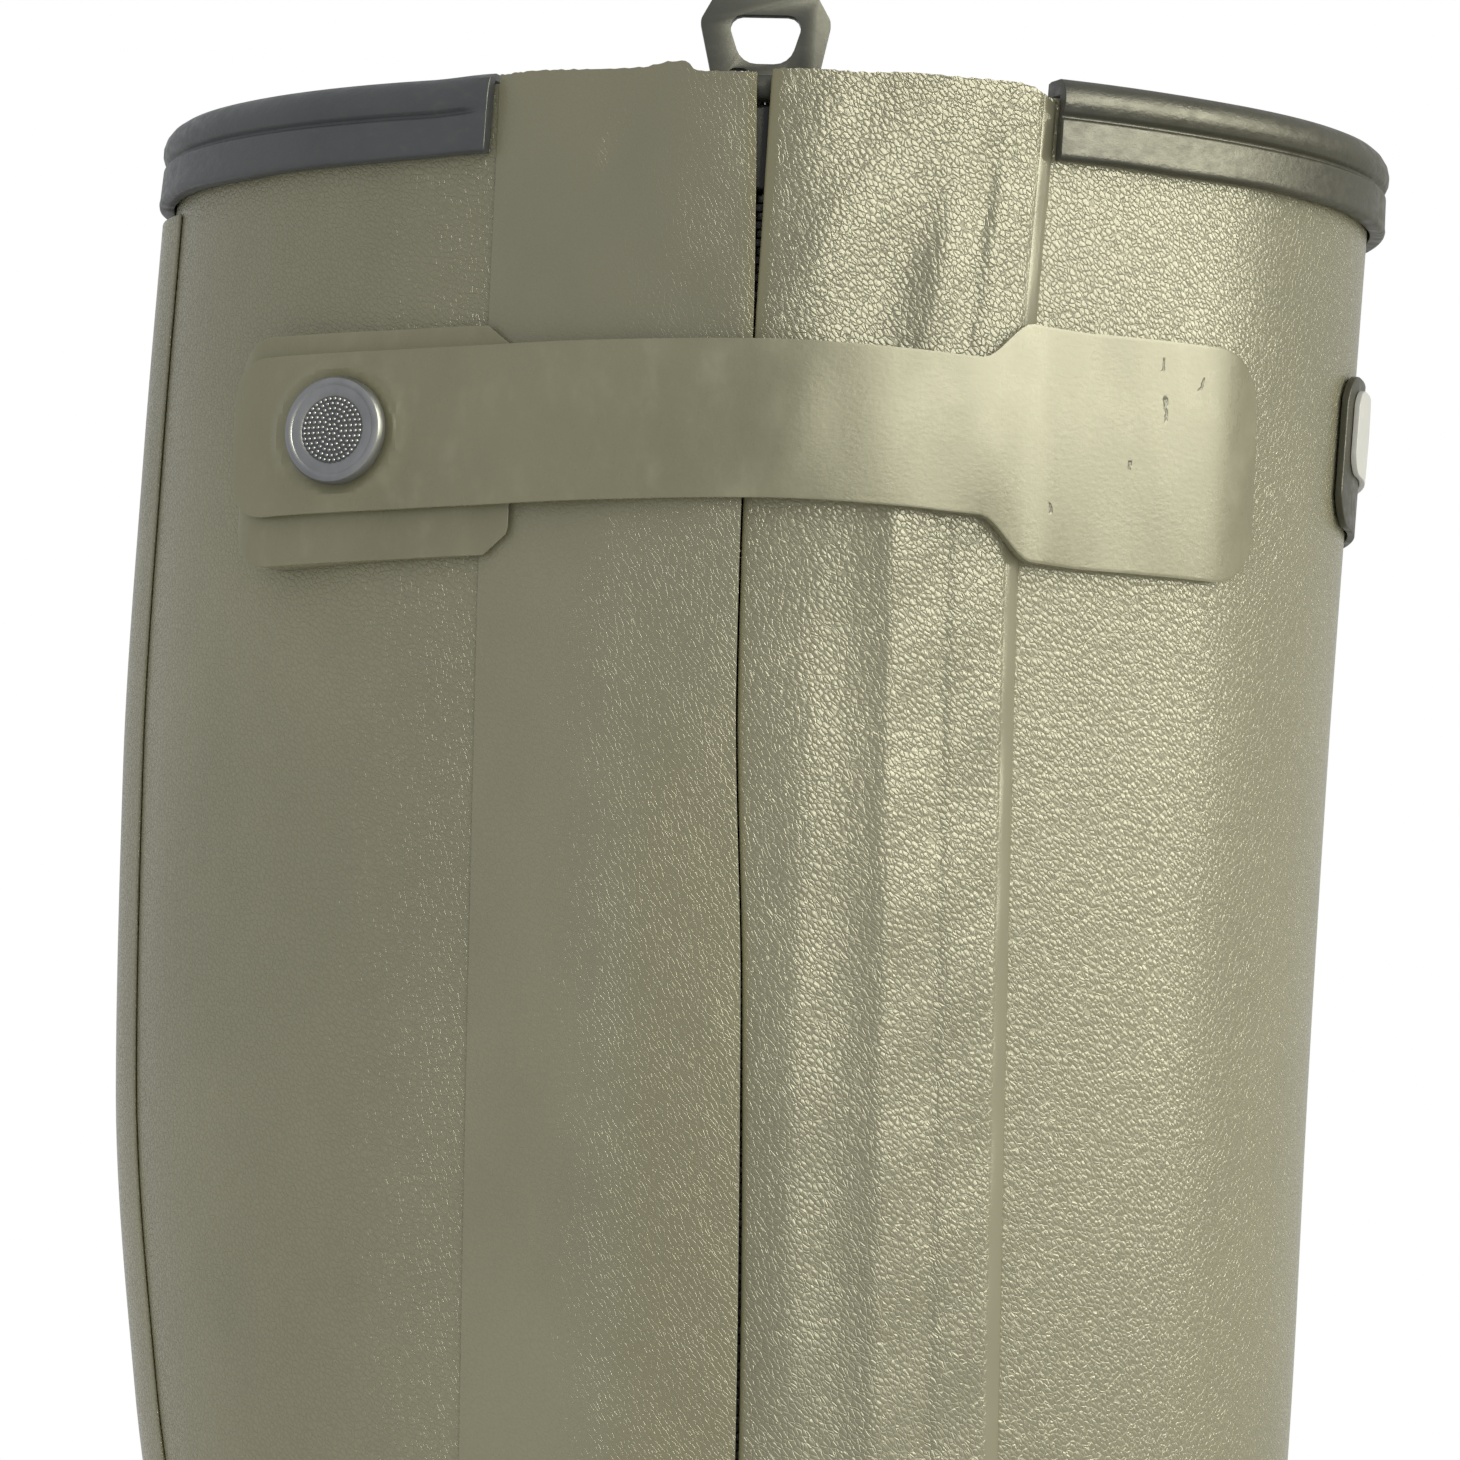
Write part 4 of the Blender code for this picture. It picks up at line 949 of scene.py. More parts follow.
    @classmethod
    def build(cls) -> None:
        """Builds every group."""
        cls.grain()
        cls.tone()
        cls.weave()

    @staticmethod
    def use(graph: Graph, effect: Effect, **inputs: Feed) -> bpy.types.bpy_prop_collection:
        """Places a group in a material.

        Args:
            graph: The material's graph.
            effect: The group.
            inputs: Its inputs by name.

        Returns:
            The group's outputs.
        """
        node = graph.tree.nodes.new("ShaderNodeGroup")
        node.node_tree = bpy.data.node_groups[effect.value]
        graph.fill(node, **inputs)
        return node.outputs


def started(name: str) -> tuple[Material, Graph, bpy.types.Node]:
    """Starts a material.

    Args:
        name: Its name.

    Returns:
        The material, its graph and its shader.
    """
    made = bpy.data.materials.new(name)
    made.use_nodes = True
    return made, Graph(made.node_tree), made.node_tree.nodes["Principled BSDF"]


DUST: Colour = (0.36, 0.33, 0.26)


@dataclass(frozen=True)
class GrainedRubber:
    """Matt rubber with a moulded grain, darkened towards the collar's top by painted shade."""

    name: str
    colour: Colour = (0.345, 0.328, 0.218)
    deep: Colour = (0.300, 0.286, 0.192)
    # Mixed in by the tint that the mesh carries: along the zip near the top, and as painted warm light low
    # down near the zip
    yellow: Colour = (0.322, 0.294, 0.162)
    # Colour multiplied in towards the collar's top: painted shade, not the rubber's own colour
    top: Colour = (0.45, 0.47, 0.45)
    depth: float = 0.057
    roughness: float = 0.225
    specular: float = 0.5
    valley_share: float = 0.15
    painted_shade_share: float = 0.24
    dust_share: float = 0.35
    valley_rough: float = 0.25
    tone_rough: float = -0.05
    dust_rough: float = 0.2

    def make(self) -> Material:
        """Builds the material.

        Returns:
            The material.
        """
        made, graph, shader = started(self.name)
        amount = graph.attribute("grain")
        grain = Effects.use(graph, Effect.GRAIN, Amount=amount)
        tone = Effects.use(graph, Effect.TONE)
        base = graph.mix(tone["Tone"], self.deep, self.colour)
        # Tint: yellow along the zip near the top, and painted warm light low down near the zip
        base = graph.mix(graph.attribute("tint"), base, self.yellow)
        valley = graph.maths("MULTIPLY", grain["Valley"], self.valley_share)
        base = graph.mix(valley, base, self.deep, "MULTIPLY")
        # Painted shade: the rubber darkens towards the collar's top
        base = graph.mix(graph.maths("MULTIPLY", tone["Top"], self.painted_shade_share), base, self.top, "MULTIPLY")
        base = graph.mix(graph.maths("MULTIPLY", tone["Dust"], self.dust_share), base, DUST)
        rough = graph.maths("MULTIPLY_ADD", grain["Valley"], self.valley_rough, self.roughness)
        rough = graph.maths("MULTIPLY_ADD", tone["Tone"], self.tone_rough, rough)
        rough = graph.maths("MULTIPLY_ADD", tone["Dust"], self.dust_rough, rough)
        normal = graph.bump(grain["Height"], self.depth)
        graph.fill(shader, Base_Color=base, Roughness=rough, Specular_IOR_Level=self.specular, Normal=normal)
        return made


@dataclass(frozen=True)
class Scuff:
    """A short crack in the surface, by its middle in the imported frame's side view."""

    x: float
    z: float
    half: float
    width: float = 0.22
    lean: float = 0.0
    colour: Colour = (0.12, 0.115, 0.085)
    sunk: float = 4.0
    wander: float = 1.4
    wander_size: float = 1.6
    core: float = 0.3
    body: float = 0.6

    def mask(self, graph: Graph, axes: bpy.types.bpy_prop_collection) -> Socket:
        """How far a place lies in the crack.

        Args:
            graph: The material's graph.
            axes: The place, in millimetres.

        Returns:
            A share that is 1 in the middle of the crack.
        """
        up = graph.maths("SUBTRACT", axes["Z"], self.z)
        drift = graph.noise(graph.coords((self.wander_size,) * 3))
        bend = graph.maths("MULTIPLY_ADD", drift, self.wander, self.x - self.wander / 2)
        middle = graph.maths("MULTIPLY_ADD", up, self.lean, bend)
        off = graph.maths("ABSOLUTE", graph.maths("SUBTRACT", axes["X"], middle))
        near = graph.span(off, self.width * self.core, self.width, 1.0, 0.0)
        along = graph.span(graph.maths("ABSOLUTE", up), self.half * self.body, self.half, 1.0, 0.0)
        return graph.maths("MULTIPLY", near, along)


@dataclass(frozen=True)
class SmoothRubber:
    """Moulded rubber without grain, with slow tone, specks and faint flow lines, and a colour towards the
    front that is painted warm light and shade.
    """

    name: str
    colour: Colour
    deep: Colour
    worn: Colour
    roughness: float = 0.36
    depth: float = 0.02
    streak: Sequence[float] = (9.0, 9.0, 3.0)
    coat: float = 0.0
    mottle: float = 0.16
    specular: float = 0.5
    # Colour mixed in towards the front: painted warm light and shade, not the rubber's own colour
    ahead: Colour | None = None
    painted_front_span: tuple[float, float] = (-65.0, -10.0)
    scuffs: Sequence[Scuff] = ()
    spread: float = 18.0
    flow_share: float = 0.6
    speck_share: float = 0.25
    dust_share: float = 0.45
    dust_rough: float = 0.2
    coat_roughness: float = 0.3
    skin_size: Sequence[float] = (0.9, 0.9, 0.6)

    def make(self) -> Material:
        """Builds the material.

        Returns:
            The material.
        """
        made, graph, shader = started(self.name)
        tone = Effects.use(graph, Effect.TONE, Spread=self.spread)
        flow = graph.noise(graph.coords(self.streak), 4.0, 0.6)
        base = graph.mix(tone["Tone"], self.deep, self.colour)
        base = graph.mix(graph.span(flow, 0.5, 0.8, 0.0, self.flow_share), base, self.worn)
        base = graph.mix(graph.maths("MULTIPLY", tone["Speck"], self.speck_share), base, self.worn)
        base = graph.mix(graph.maths("MULTIPLY", tone["Dust"], self.dust_share), base, DUST)
        axes = graph.add("ShaderNodeSeparateXYZ", Vector=graph.coords((1, 1, 1))).outputs
        # Painted warm light and shade: the colour turns to the ahead colour towards the front
        if self.ahead:
            base = graph.mix(graph.span(axes["X"], *self.painted_front_span), base, self.ahead)
        skin = graph.noise(graph.coords(self.skin_size), 3.0, 0.65)
        for scuff in self.scuffs:
            mask = scuff.mask(graph, axes)
            base = graph.mix(mask, base, scuff.colour)
            skin = graph.maths("MULTIPLY_ADD", mask, -scuff.sunk, skin)
        rough = graph.maths("MULTIPLY_ADD", flow, self.mottle, self.roughness - self.mottle / 2)
        rough = graph.maths("MULTIPLY_ADD", tone["Dust"], self.dust_rough, rough)
        normal = graph.bump(skin, self.depth)
        graph.fill(shader, Base_Color=base, Roughness=rough, Specular_IOR_Level=self.specular, Normal=normal)
        graph.fill(shader, Coat_Weight=self.coat, Coat_Roughness=self.coat_roughness)
        return made


@dataclass(frozen=True)
class Cloth:
    """Knitted or woven cloth."""

    name: str
    colour: Colour
    thread: Colour
    pitch: float
    depth: float = 0.15
    spread: float = 12.0
    roughness: float = 0.92
    thread_rough: float = -0.12
    sheen: float = 0.25

    def make(self) -> Material:
        """Builds the material.

        Returns:
            The material.
        """
        made, graph, shader = started(self.name)
        weave = Effects.use(graph, Effect.WEAVE, Pitch=self.pitch)
        tone = Effects.use(graph, Effect.TONE, Spread=self.spread)
        share = graph.span(weave["Height"], -0.4, 1.1)
        base = graph.mix(share, self.colour, self.thread)
        base = graph.mix(tone["Speck"], base, self.thread)
        rough = graph.maths("MULTIPLY_ADD", share, self.thread_rough, self.roughness)
        normal = graph.bump(weave["Height"], self.depth)
        graph.fill(shader, Base_Color=base, Roughness=rough, Sheen_Weight=self.sheen, Normal=normal)
        return made


@dataclass(frozen=True)
class Metal:
    """Plated metal with fine scratches."""

    name: str
    colour: Colour
    worn: Colour
    roughness: float
    metallic: float = 0.85
    spread: float = 5.0
    scratch_size: Sequence[float] = (2.4, 0.3, 0.12)
    scratch_lean: Sequence[float] = (0, 25, 0)
    scratch_rough: float = 0.2
    scratch_depth: float = 0.01

    def make(self) -> Material:
        """Builds the material.

        Returns:
            The material.
        """
        made, graph, shader = started(self.name)
        tone = Effects.use(graph, Effect.TONE, Spread=self.spread)
        scratch = graph.noise(graph.coords(self.scratch_size, self.scratch_lean), 3.0, 0.6)
        base = graph.mix(tone["Tone"], self.colour, self.worn)
        rough = graph.maths("MULTIPLY_ADD", scratch, self.scratch_rough, self.roughness)
        normal = graph.bump(scratch, self.scratch_depth)
        graph.fill(shader, Base_Color=base, Roughness=rough, Metallic=self.metallic, Normal=normal)
        return made


STRAP_SCUFFS = (
    Scuff(-17.6, 360.3, 1.9),
    Scuff(-17.9, 365.9, 1.0),
    Scuff(-13.1, 364.0, 1.0, lean=0.4),
    Scuff(-22.2, 352.9, 0.7),
    Scuff(-32.3, 346.8, 0.8),
)


@dataclass
class Palette:
    """The finishes of the boot."""

    def __post_init__(self) -> None:
        """Builds every finish."""
        Effects.build()
        self.olive = GrainedRubber("Olive grained rubber").make()
        self.satin = SmoothRubber(
            "Olive satin rubber", (0.300, 0.288, 0.186), (0.262, 0.252, 0.160), (0.352, 0.336, 0.228), 0.29,
            streak=(4.0, 4.0, 7.0), mottle=0.30, specular=0.42, scuffs=STRAP_SCUFFS,
        ).make()
        # The dark rubber's ahead colour is painted warm light and shade towards the front
        self.dark = SmoothRubber(
            "Dark rubber", (0.094, 0.102, 0.108), (0.080, 0.087, 0.093), (0.122, 0.126, 0.120), 0.40, 0.07,
            streak=(2.2, 2.2, 1.3), mottle=0.55, specular=0.36, ahead=(0.060, 0.058, 0.038),
        ).make()
        self.sole = SmoothRubber(
            "Sole rubber", (0.100, 0.098, 0.070), (0.075, 0.074, 0.055), (0.15, 0.14, 0.105), 0.55, 0.05
        ).make()
        self.trim = SmoothRubber(
            "Dark trim", (0.070, 0.074, 0.060), (0.055, 0.058, 0.048), (0.12, 0.122, 0.10), 0.34, 0.012
        ).make()
        self.badge = SmoothRubber(
            "Pale badge face", (0.74, 0.74, 0.71), (0.66, 0.66, 0.63), (0.80, 0.80, 0.78), 0.42, 0.015
        ).make()
        self.lining = Cloth("Knitted lining", (0.022, 0.024, 0.022), (0.060, 0.062, 0.056), 1.1, 0.22).make()
        self.footbed = Cloth("Footbed cloth", (0.060, 0.060, 0.052), (0.130, 0.126, 0.105), 1.6, 0.2).make()
        self.tape = Cloth("Woven zip tape", (0.008, 0.008, 0.009), (0.030, 0.030, 0.032), 0.7, 0.12).make()
        self.teeth = SmoothRubber(
            "Zip teeth", (0.014, 0.014, 0.015), (0.010, 0.010, 0.011), (0.035, 0.035, 0.035), 0.34, 0.01
        ).make()
        self.stud = Metal("Gunmetal", (0.235, 0.244, 0.26), (0.31, 0.316, 0.33), 0.28).make()
        self.stud_field = Metal("Dark gunmetal", (0.110, 0.113, 0.121), (0.14, 0.142, 0.15), 0.45).make()


# Sub-assemblies


@dataclass
class Upper:
    """Leg and foot: one wall, open at the collar, underneath and along the zip's slot."""

    columns: int = 144
    leg_rows: int = 116
    foot_rows: int = 96
    slot_half: float = 8.0
    slot_foot: float = 162.0
    bend_foot: float = 146.0
    bend_fade: float = 25.0
    bend_ahead: float = 0.5
    bend_ahead_fade: float = 0.2
    bend_turn: float = 0.85
    bend_turn_fade: float = 0.35
    bend_pull: float = 0.5
    bend_rounds: int = 90
    seat_points: int = 120

    def stations(self, last: Last) -> Array:
        """Stations of the rows."""
        leg = np.linspace(0.0, last.heel, self.leg_rows + 1)
        return np.concatenate([leg, last.foot_stations(self.foot_rows)[1:]])

    def turns(self, last: Last, stations: Array) -> tuple[Array, int, int]:
        """Turns of the columns in each row, with two columns kept on the slot's edges.

        Args:
            last: The surface.
            stations: The rows.

        Returns:
            A table of turns, and the columns on the slot's edges.
        """
        even = np.linspace(-1.0, 1.0, self.columns + 1)
        low = np.minimum(stations, last.station_at(np.array([self.slot_foot]))[0])
        edges = [last.turn_at(low, np.full(len(low), side * self.slot_half)) for side in (-1.0, 1.0)]
        first, second = (int(np.argmin(abs(even - edge.mean()))) for edge in edges)
        knots = [-1.0, even[first], even[second], 1.0]
        rows = [np.interp(even, knots, [-1.0, a, b, 1.0]) for a, b in zip(*edges)]
        return np.array(rows), first, second

    def softened(self, last: Last, stations: Array, turns: Array) -> Array:
        """Places of the outside, with the bend from the leg into the foot made softer.

        Args:
            last: The surface.
            stations: The rows.
            turns: The turns of the columns in each row.

        Returns:
            A table of places by row and column.
        """
        grid = last.points(np.repeat(stations, turns.shape[1]), turns.ravel()).reshape(*turns.shape, 3)
        ahead = (stations - last.heel) / (last.toe - last.heel)
        share = ease((self.bend_foot - grid[:, :, 2]) / self.bend_fade)
        share = share * ease((self.bend_ahead - ahead) / self.bend_ahead_fade)[:, None]
        share = self.bend_pull * share * ease((self.bend_turn - abs(turns)) / self.bend_turn_fade)
        for _ in range(self.bend_rounds):
            middle = (grid[:-2] + grid[2:]) / 2
            grid[1:-1] += share[1:-1, :, None] * (middle - grid[1:-1])
        return grid

    def build(self, shop: Workshop) -> None:
        """Builds the wall and gives it rubber outside and lining inside.

        Args:
            shop: Sets the pieces on the frame.
        """
        last = shop.last
        stations = self.stations(last)
        turns, first, second = self.turns(last, stations)
        outside = self.softened(last, stations, turns)
        made = Sheet(self.columns, len(stations) - 1)
        columns, rows = made.numbers(made.bm.verts)
        made.move(made.bm.verts[:], outside[rows, columns])
        foot_row = int(np.argmin(abs(stations - last.station_at(np.array([self.slot_foot]))[0])))
        slot = []
        for face in made.bm.faces:
            column, row = made.numbers(face.verts)
            if column.min() >= first and column.max() <= second and row.max() <= foot_row:
                slot.append(face)
        bmesh.ops.delete(made.bm, geom=slot, context="FACES")
        bmesh.ops.remove_doubles(made.bm, verts=made.bm.verts, dist=JOINED)
        inner = made.thicken()
        columns, rows = made.numbers(inner)
        at, turn = stations[rows], turns[rows, columns]
        places = outside[rows, columns] - last.normals(at, turn) * WALL
        seat = last.seat(last.foot_stations(self.seat_points))
        places[:, 2] = np.maximum(places[:, 2], np.interp(places[:, 0], seat[:, 0], seat[:, 3]))
        made.move(inner, places)
        inside = set(inner)
        for face in made.bm.faces:
            face.material_index = int(all(vert in inside for vert in face.verts))
        bmesh.ops.recalc_face_normals(made.bm, faces=made.bm.faces)
        finishes = [shop.palette.olive, shop.palette.lining]
        shop.piece("upper_wall", made.bm, finishes, ["upper"])


@dataclass
class Sole:
    """Outsole with heel, arch, toe spring and lugs, and the insole on it."""

    breast: float = 80.0
    breast_run: float = 2.0
    arch_end: float = 150.0
    arch_flat: float = 12.0
    arch_rise: float = 12.0
    lift_start: float = 232.0
    lift_end: float = 292.0
    lift: float = 9.0
    lift_power: float = 1.6
    lug_depth: float = 4.0
    groove_half: float = 2.5
    groove_slant: float = 0.25
    row_clear: float = 0.6
    row_count: int = 110
    edge_points: int = 400
    grooves: tuple[float, ...] = (24.0, 42.0, 60.0, *(164.0 + 14.0 * i for i in range(8)))
    rib_depth: float = 2.2
    rib_columns: tuple[int, ...] = (4, 5, 10, 11)
    rib_clear: tuple[float, float] = (6.0, 8.0)
    insole_thick: float = 4.0
    insole_clear: float = 1.0
    insole_columns: int = 18
    insole_rows: int = 84
    insole_dish: float = 0.12
    insole_fill: float = 0.9
    ledges: Pairs = ((0.0, 0.0), (0.0, 0.34), (1.3, 0.40), (1.3, 0.50), (0.3, 0.56), (0.9, 1.0))
    across: tuple[float, ...] = (
        0.03, 0.17, 0.19, 0.29, 0.31, 0.33, 0.35, 0.5, 0.5, 0.65, 0.67, 0.69, 0.71, 0.81, 0.83, 0.97,
    )

    def floor(self, x: Array) -> Array:
        """The underside: flat heel, raised arch, flat ball and lifted toe.

        Args:
            x: Places along the sole.

        Returns:
            Its heights there.
        """
        start = self.breast + self.arch_flat
        arch = self.arch_rise * (1 - ease((x - start) / (self.arch_end - start)))
        arch = arch * np.clip((x - self.breast) / self.breast_run, 0, 1)
        toe = np.clip((x - self.lift_start) / (self.lift_end - self.lift_start), 0, None) ** self.lift_power
        return np.where(x < self.breast, 0.0, np.where(x < self.arch_end, arch, self.lift * toe))

    def edge(self, last: Last, stations: Array, side: float) -> tuple[Array, Array]:
        """The seat's edge on one side.

        Args:
            last: The surface.
            stations: Places along the foot.
            side: -1 for the outer side, 1 for the inner one.

        Returns:
            Points of the edge in plan with their heights, and outward directions in plan.
        """
        fine = last.foot_stations(self.edge_points)
        seat = last.seat(fine)
        flat = np.stack([seat[:, 0], seat[:, 1] if side < 0 else seat[:, 2]], axis=1)
        run = np.gradient(flat, axis=0)
        out = np.stack([-run[:, 1], run[:, 0]], axis=1) * side
        out[0], out[-1] = (-1.0, 0.0), (1.0, 0.0)
        out /= np.linalg.norm(out, axis=1, keepdims=True)
        read = [np.interp(stations, fine, column) for column in (*flat.T, seat[:, 3], *out.T)]
        return np.stack(read[:3], axis=1), np.stack(read[3:], axis=1)

    def rows(self, last: Last) -> tuple[Array, Array]:
        """Rows of the outsole.

        Args:
            last: The surface.

        Returns:
            Their stations, and the share of a groove's depth that each is cut by.
        """
        fine = last.foot_stations(self.edge_points)
        xs = last.seat(fine)[:, 0]
        marks = [(float(x), 0.0) for x in last.seat(last.foot_stations(self.row_count))[:, 0]]
        cuts = []
        slant, clear = self.groove_slant, self.row_clear
        for centre in self.grooves:
            low, high = centre - self.groove_half, centre + self.groove_half
            cuts += [(low - slant, 0.0), (low + slant, 1.0), (high - slant, 1.0), (high + slant, 0.0)]
            marks = [mark for mark in marks if not low - clear < mark[0] < high + clear]
        for x in (self.breast, self.breast + self.breast_run):
            marks = [mark for mark in marks if abs(mark[0] - x) > clear] + [(x, 0.0)]
        places, depth = np.array(sorted(marks + cuts)).T
        return np.interp(places, xs, fine), depth

    def build(self, shop: Workshop) -> None:
        """Builds the outsole and the insole.

        Args:
            shop: Sets the pieces on the frame.
        """
        last = shop.last
        stations, cut = self.rows(last)
        sides = {side: self.edge(last, stations, side) for side in (-1.0, 1.0)}
        xs = last.seat(stations)[:, 0]
        bottom = self.floor(xs)
        count = len(self.ledges)
        loop = 2 * count + len(self.across)
        heel_end, ball_start = self.breast - self.rib_clear[0], self.arch_end + self.rib_clear[1]

        def side_point(row: Array, side: float, ledge: tuple[float, float]) -> Array:
            """Points of one ledge on a side.

            Args:
                row: The rows.
                side: -1 for the outer side, 1 for the inner one.
                ledge: Its margin inside the welt and its share of the way to the floor.

            Returns:
                The places.
            """
            points, out = sides[side]
            top = points[row, 2] - GAP
            low = bottom[row] + (self.lug_depth * cut[row] if ledge[1] == 1.0 else 0.0)
            flat = points[row, :2] + out[row] * (WELT - ledge[0])
            floor = low if ledge[1] == 1.0 else top + (bottom[row] - top) * ledge[1]
            return np.concatenate([flat, np.reshape(floor, (-1, 1))], axis=1)

        def place(columns: Array, rows: Array) -> Array:
            """Points of the whole skin.

            Args:
                columns: Steps round the sole.
                rows: Steps from heel to toe.

            Returns:
                The places.
            """
            made = np.zeros((len(columns), 3))
            for column in range(loop):
                here = columns == column
                row = rows[here]
                if column < count:
                    made[here] = side_point(row, -1.0, self.ledges[column])
                elif column >= loop - count:
                    made[here] = side_point(row, 1.0, self.ledges[loop - 1 - column])
                else:
                    share = self.across[column - count]
                    outer = side_point(row, -1.0, self.ledges[-1])
                    inner = side_point(row, 1.0, self.ledges[-1])
                    made[here] = outer + (inner - outer) * share
                    rib = self.rib_depth * (column - count in self.rib_columns)
                    tread = (xs[row] < heel_end) | (xs[row] > ball_start)
                    deep = np.maximum(rib * tread, self.lug_depth * cut[row])
                    made[here, 2] = bottom[row] + deep
            return made

        outsole = tube(loop, len(stations) - 1, place)
        shop.piece(
            "tread_sole", outsole.bm, [shop.palette.sole], ["outsole"], bevel=0.35, sharp=32
        )
        self.footbed(shop)

    def footbed(self, shop: Workshop) -> None:
        """Builds the insole, a little cupped at its edges.

        Args:
            shop: Sets the pieces on the frame.
        """
        last = shop.last
        stations = last.foot_stations(self.insole_rows)
        sides = {side: self.edge(last, stations, side) for side in (-1.0, 1.0)}
        inset = WALL + self.insole_clear

        def layer(up: float) -> Skin:
            """One face of the insole.

            Args:
                up: Its height over the seat.

            Returns:
                Its skin.
            """

            def skin(us: Array, vs: Array) -> Array:
                """Points of the face.

                Args:
                    us: Shares of the way across.
                    vs: Shares of the way to the toe.

                Returns:
                    The places.
                """
                row = np.rint(vs * (len(stations) - 1)).astype(int)
                ends = []
                for side in (-1.0, 1.0):
                    points, out = sides[side]
                    flat = points[row, :2] - out[row] * inset
                    ends.append(np.concatenate([flat, points[row, 2:3]], axis=1))
                made = ends[0] + (ends[1] - ends[0]) * us[:, None]
                dish = up * (1 - self.insole_dish * np.sin(math.pi * us) ** 2) if up else 0.0
                made[:, 2] += dish
                return made

            return skin

        shares = np.linspace(0, 1, len(stations))
        made = plate(gathered(self.insole_columns), shares, layer(0.0), layer(self.insole_thick))
        made.weld()
        insole = shop.piece("footbed", made.bm, [shop.palette.footbed], ["insole"], bevel=0.6)


@dataclass
class CollarBand:
    """Dark binding round the collar, with a bead along its top and a lip along its foot."""

    ends: tuple[float, float] = (-34.4, 37.6)
    steps: int = 190
    profile: Pairs = (
        (0.35, -9.4), (1.75, -9.4), (2.20, -9.15), (2.30, -8.7), (2.22, -8.2), (2.08, -4.6),
        (1.90, -4.35), (1.35, -4.2), (1.40, -3.85), (1.98, -3.4), (2.28, -2.6), (2.30, -1.8),
        (2.02, -0.8), (1.40, 0.1), (0.60, 0.7), (0.00, 0.9), (-3.00, 0.9), (-3.80, 0.7),
        (-3.80, 0.35), (0.35, 0.35),
    )
    girth_points: int = 721
    end_gather: float = 0.1
    chart_end: float = 330.0
    roll: float = 3.0
    roll_start: float = 0.6
    roll_out: float = 2.45
    roll_columns: tuple[int, int] = (1, 14)
    roll_crown: float = 0.9
    roll_middle: float = -4.5
    roll_half: float = 5.5
    foot_wave: Triples = ((0.10, 0.11, 0.0), (0.06, 0.29, 1.0))
    foot_from: float = -8.0
    lift: Pairs = ((0.0, 1.6), (25.0, 1.1), (60.0, 0.9), (110.0, 0.4), (170.0, 0.0))
    end_lift: float = 0.45
    end_reach: float = 9.0

    def build(self, shop: Workshop) -> None:
        """Sweeps the profile round the rim from one side of the zip to the other.

        Args:
            shop: Sets the pieces on the frame.
        """
        last = shop.last
        turns = np.linspace(-1, 1, self.girth_points)
        ring = last.points(np.zeros(len(turns)), turns)
        girth = float(np.linalg.norm(np.diff(ring, axis=0), axis=1).sum())
        start, end = self.ends[1], self.ends[0] + girth
        shape = np.array(self.profile)

        def place(columns: Array, rows: Array) -> Array:
            """Points of the band.

            Args:
                columns: Corners of the profile.
                rows: Steps round the rim.

            Returns:
                The places.
            """
            share = rows / self.steps
            past = (end - start) * gathered(self.steps, self.end_gather)[rows]
            arcs = start + past
            arcs = np.where(arcs > self.chart_end, arcs - girth, arcs)
            away = np.minimum(share, 1 - share) * (end - start)
            first, stop = self.roll_columns
            rolled = (1 - ease((away - self.roll_start) / self.roll)) * (share > 0.5)
            rolled = rolled * ((columns > first) & (columns < stop))
            high = (shape[columns, 1] - self.roll_middle) / self.roll_half
            full = self.roll_out - self.roll_crown * high**4
            out = shape[columns, 0] + np.maximum(full - shape[columns, 0], 0.0) * rolled
            made = last.on_leg(np.full(len(rows), last.rim), arcs, out)
            up = shape[columns, 1] + waves(arcs, self.foot_wave) * (shape[columns, 1] < self.foot_from)
            lift = smooth(past, self.lift) + self.end_lift * ease(1 - (end - start - past) / self.end_reach)
            return made + last.up * (up + lift * (shape[columns, 1] != GAP))[:, None]

        made = tube(len(shape), self.steps, place)
        shop.piece(
            "collar_binding", made.bm, [shop.palette.dark], ["collar_band"],
            bevel=0.14, sharp=30,
        )


@dataclass(frozen=True)
class Crease:
    """A soft trough or ridge on a cover, by its middle, its reach, its half-width and its lean."""

    arc: float
    height: float
    reach: float
    half: float
    rise: float
    lean: float

    def relief(self, arcs: Array, heights: Array) -> Array:
        """How far it lifts the surface.

        Args:
            arcs: Distances from the zip.
            heights: Heights on the leg.

        Returns:
            The lift at each place.
        """
        c, s = math.cos(math.radians(self.lean)), math.sin(math.radians(self.lean))
        off, up = arcs - self.arc, heights - self.height
        across, along = off * c - up * s, off * s + up * c
        return self.rise * np.exp(-((across / self.half) ** 2) - (along / self.reach) ** 2)


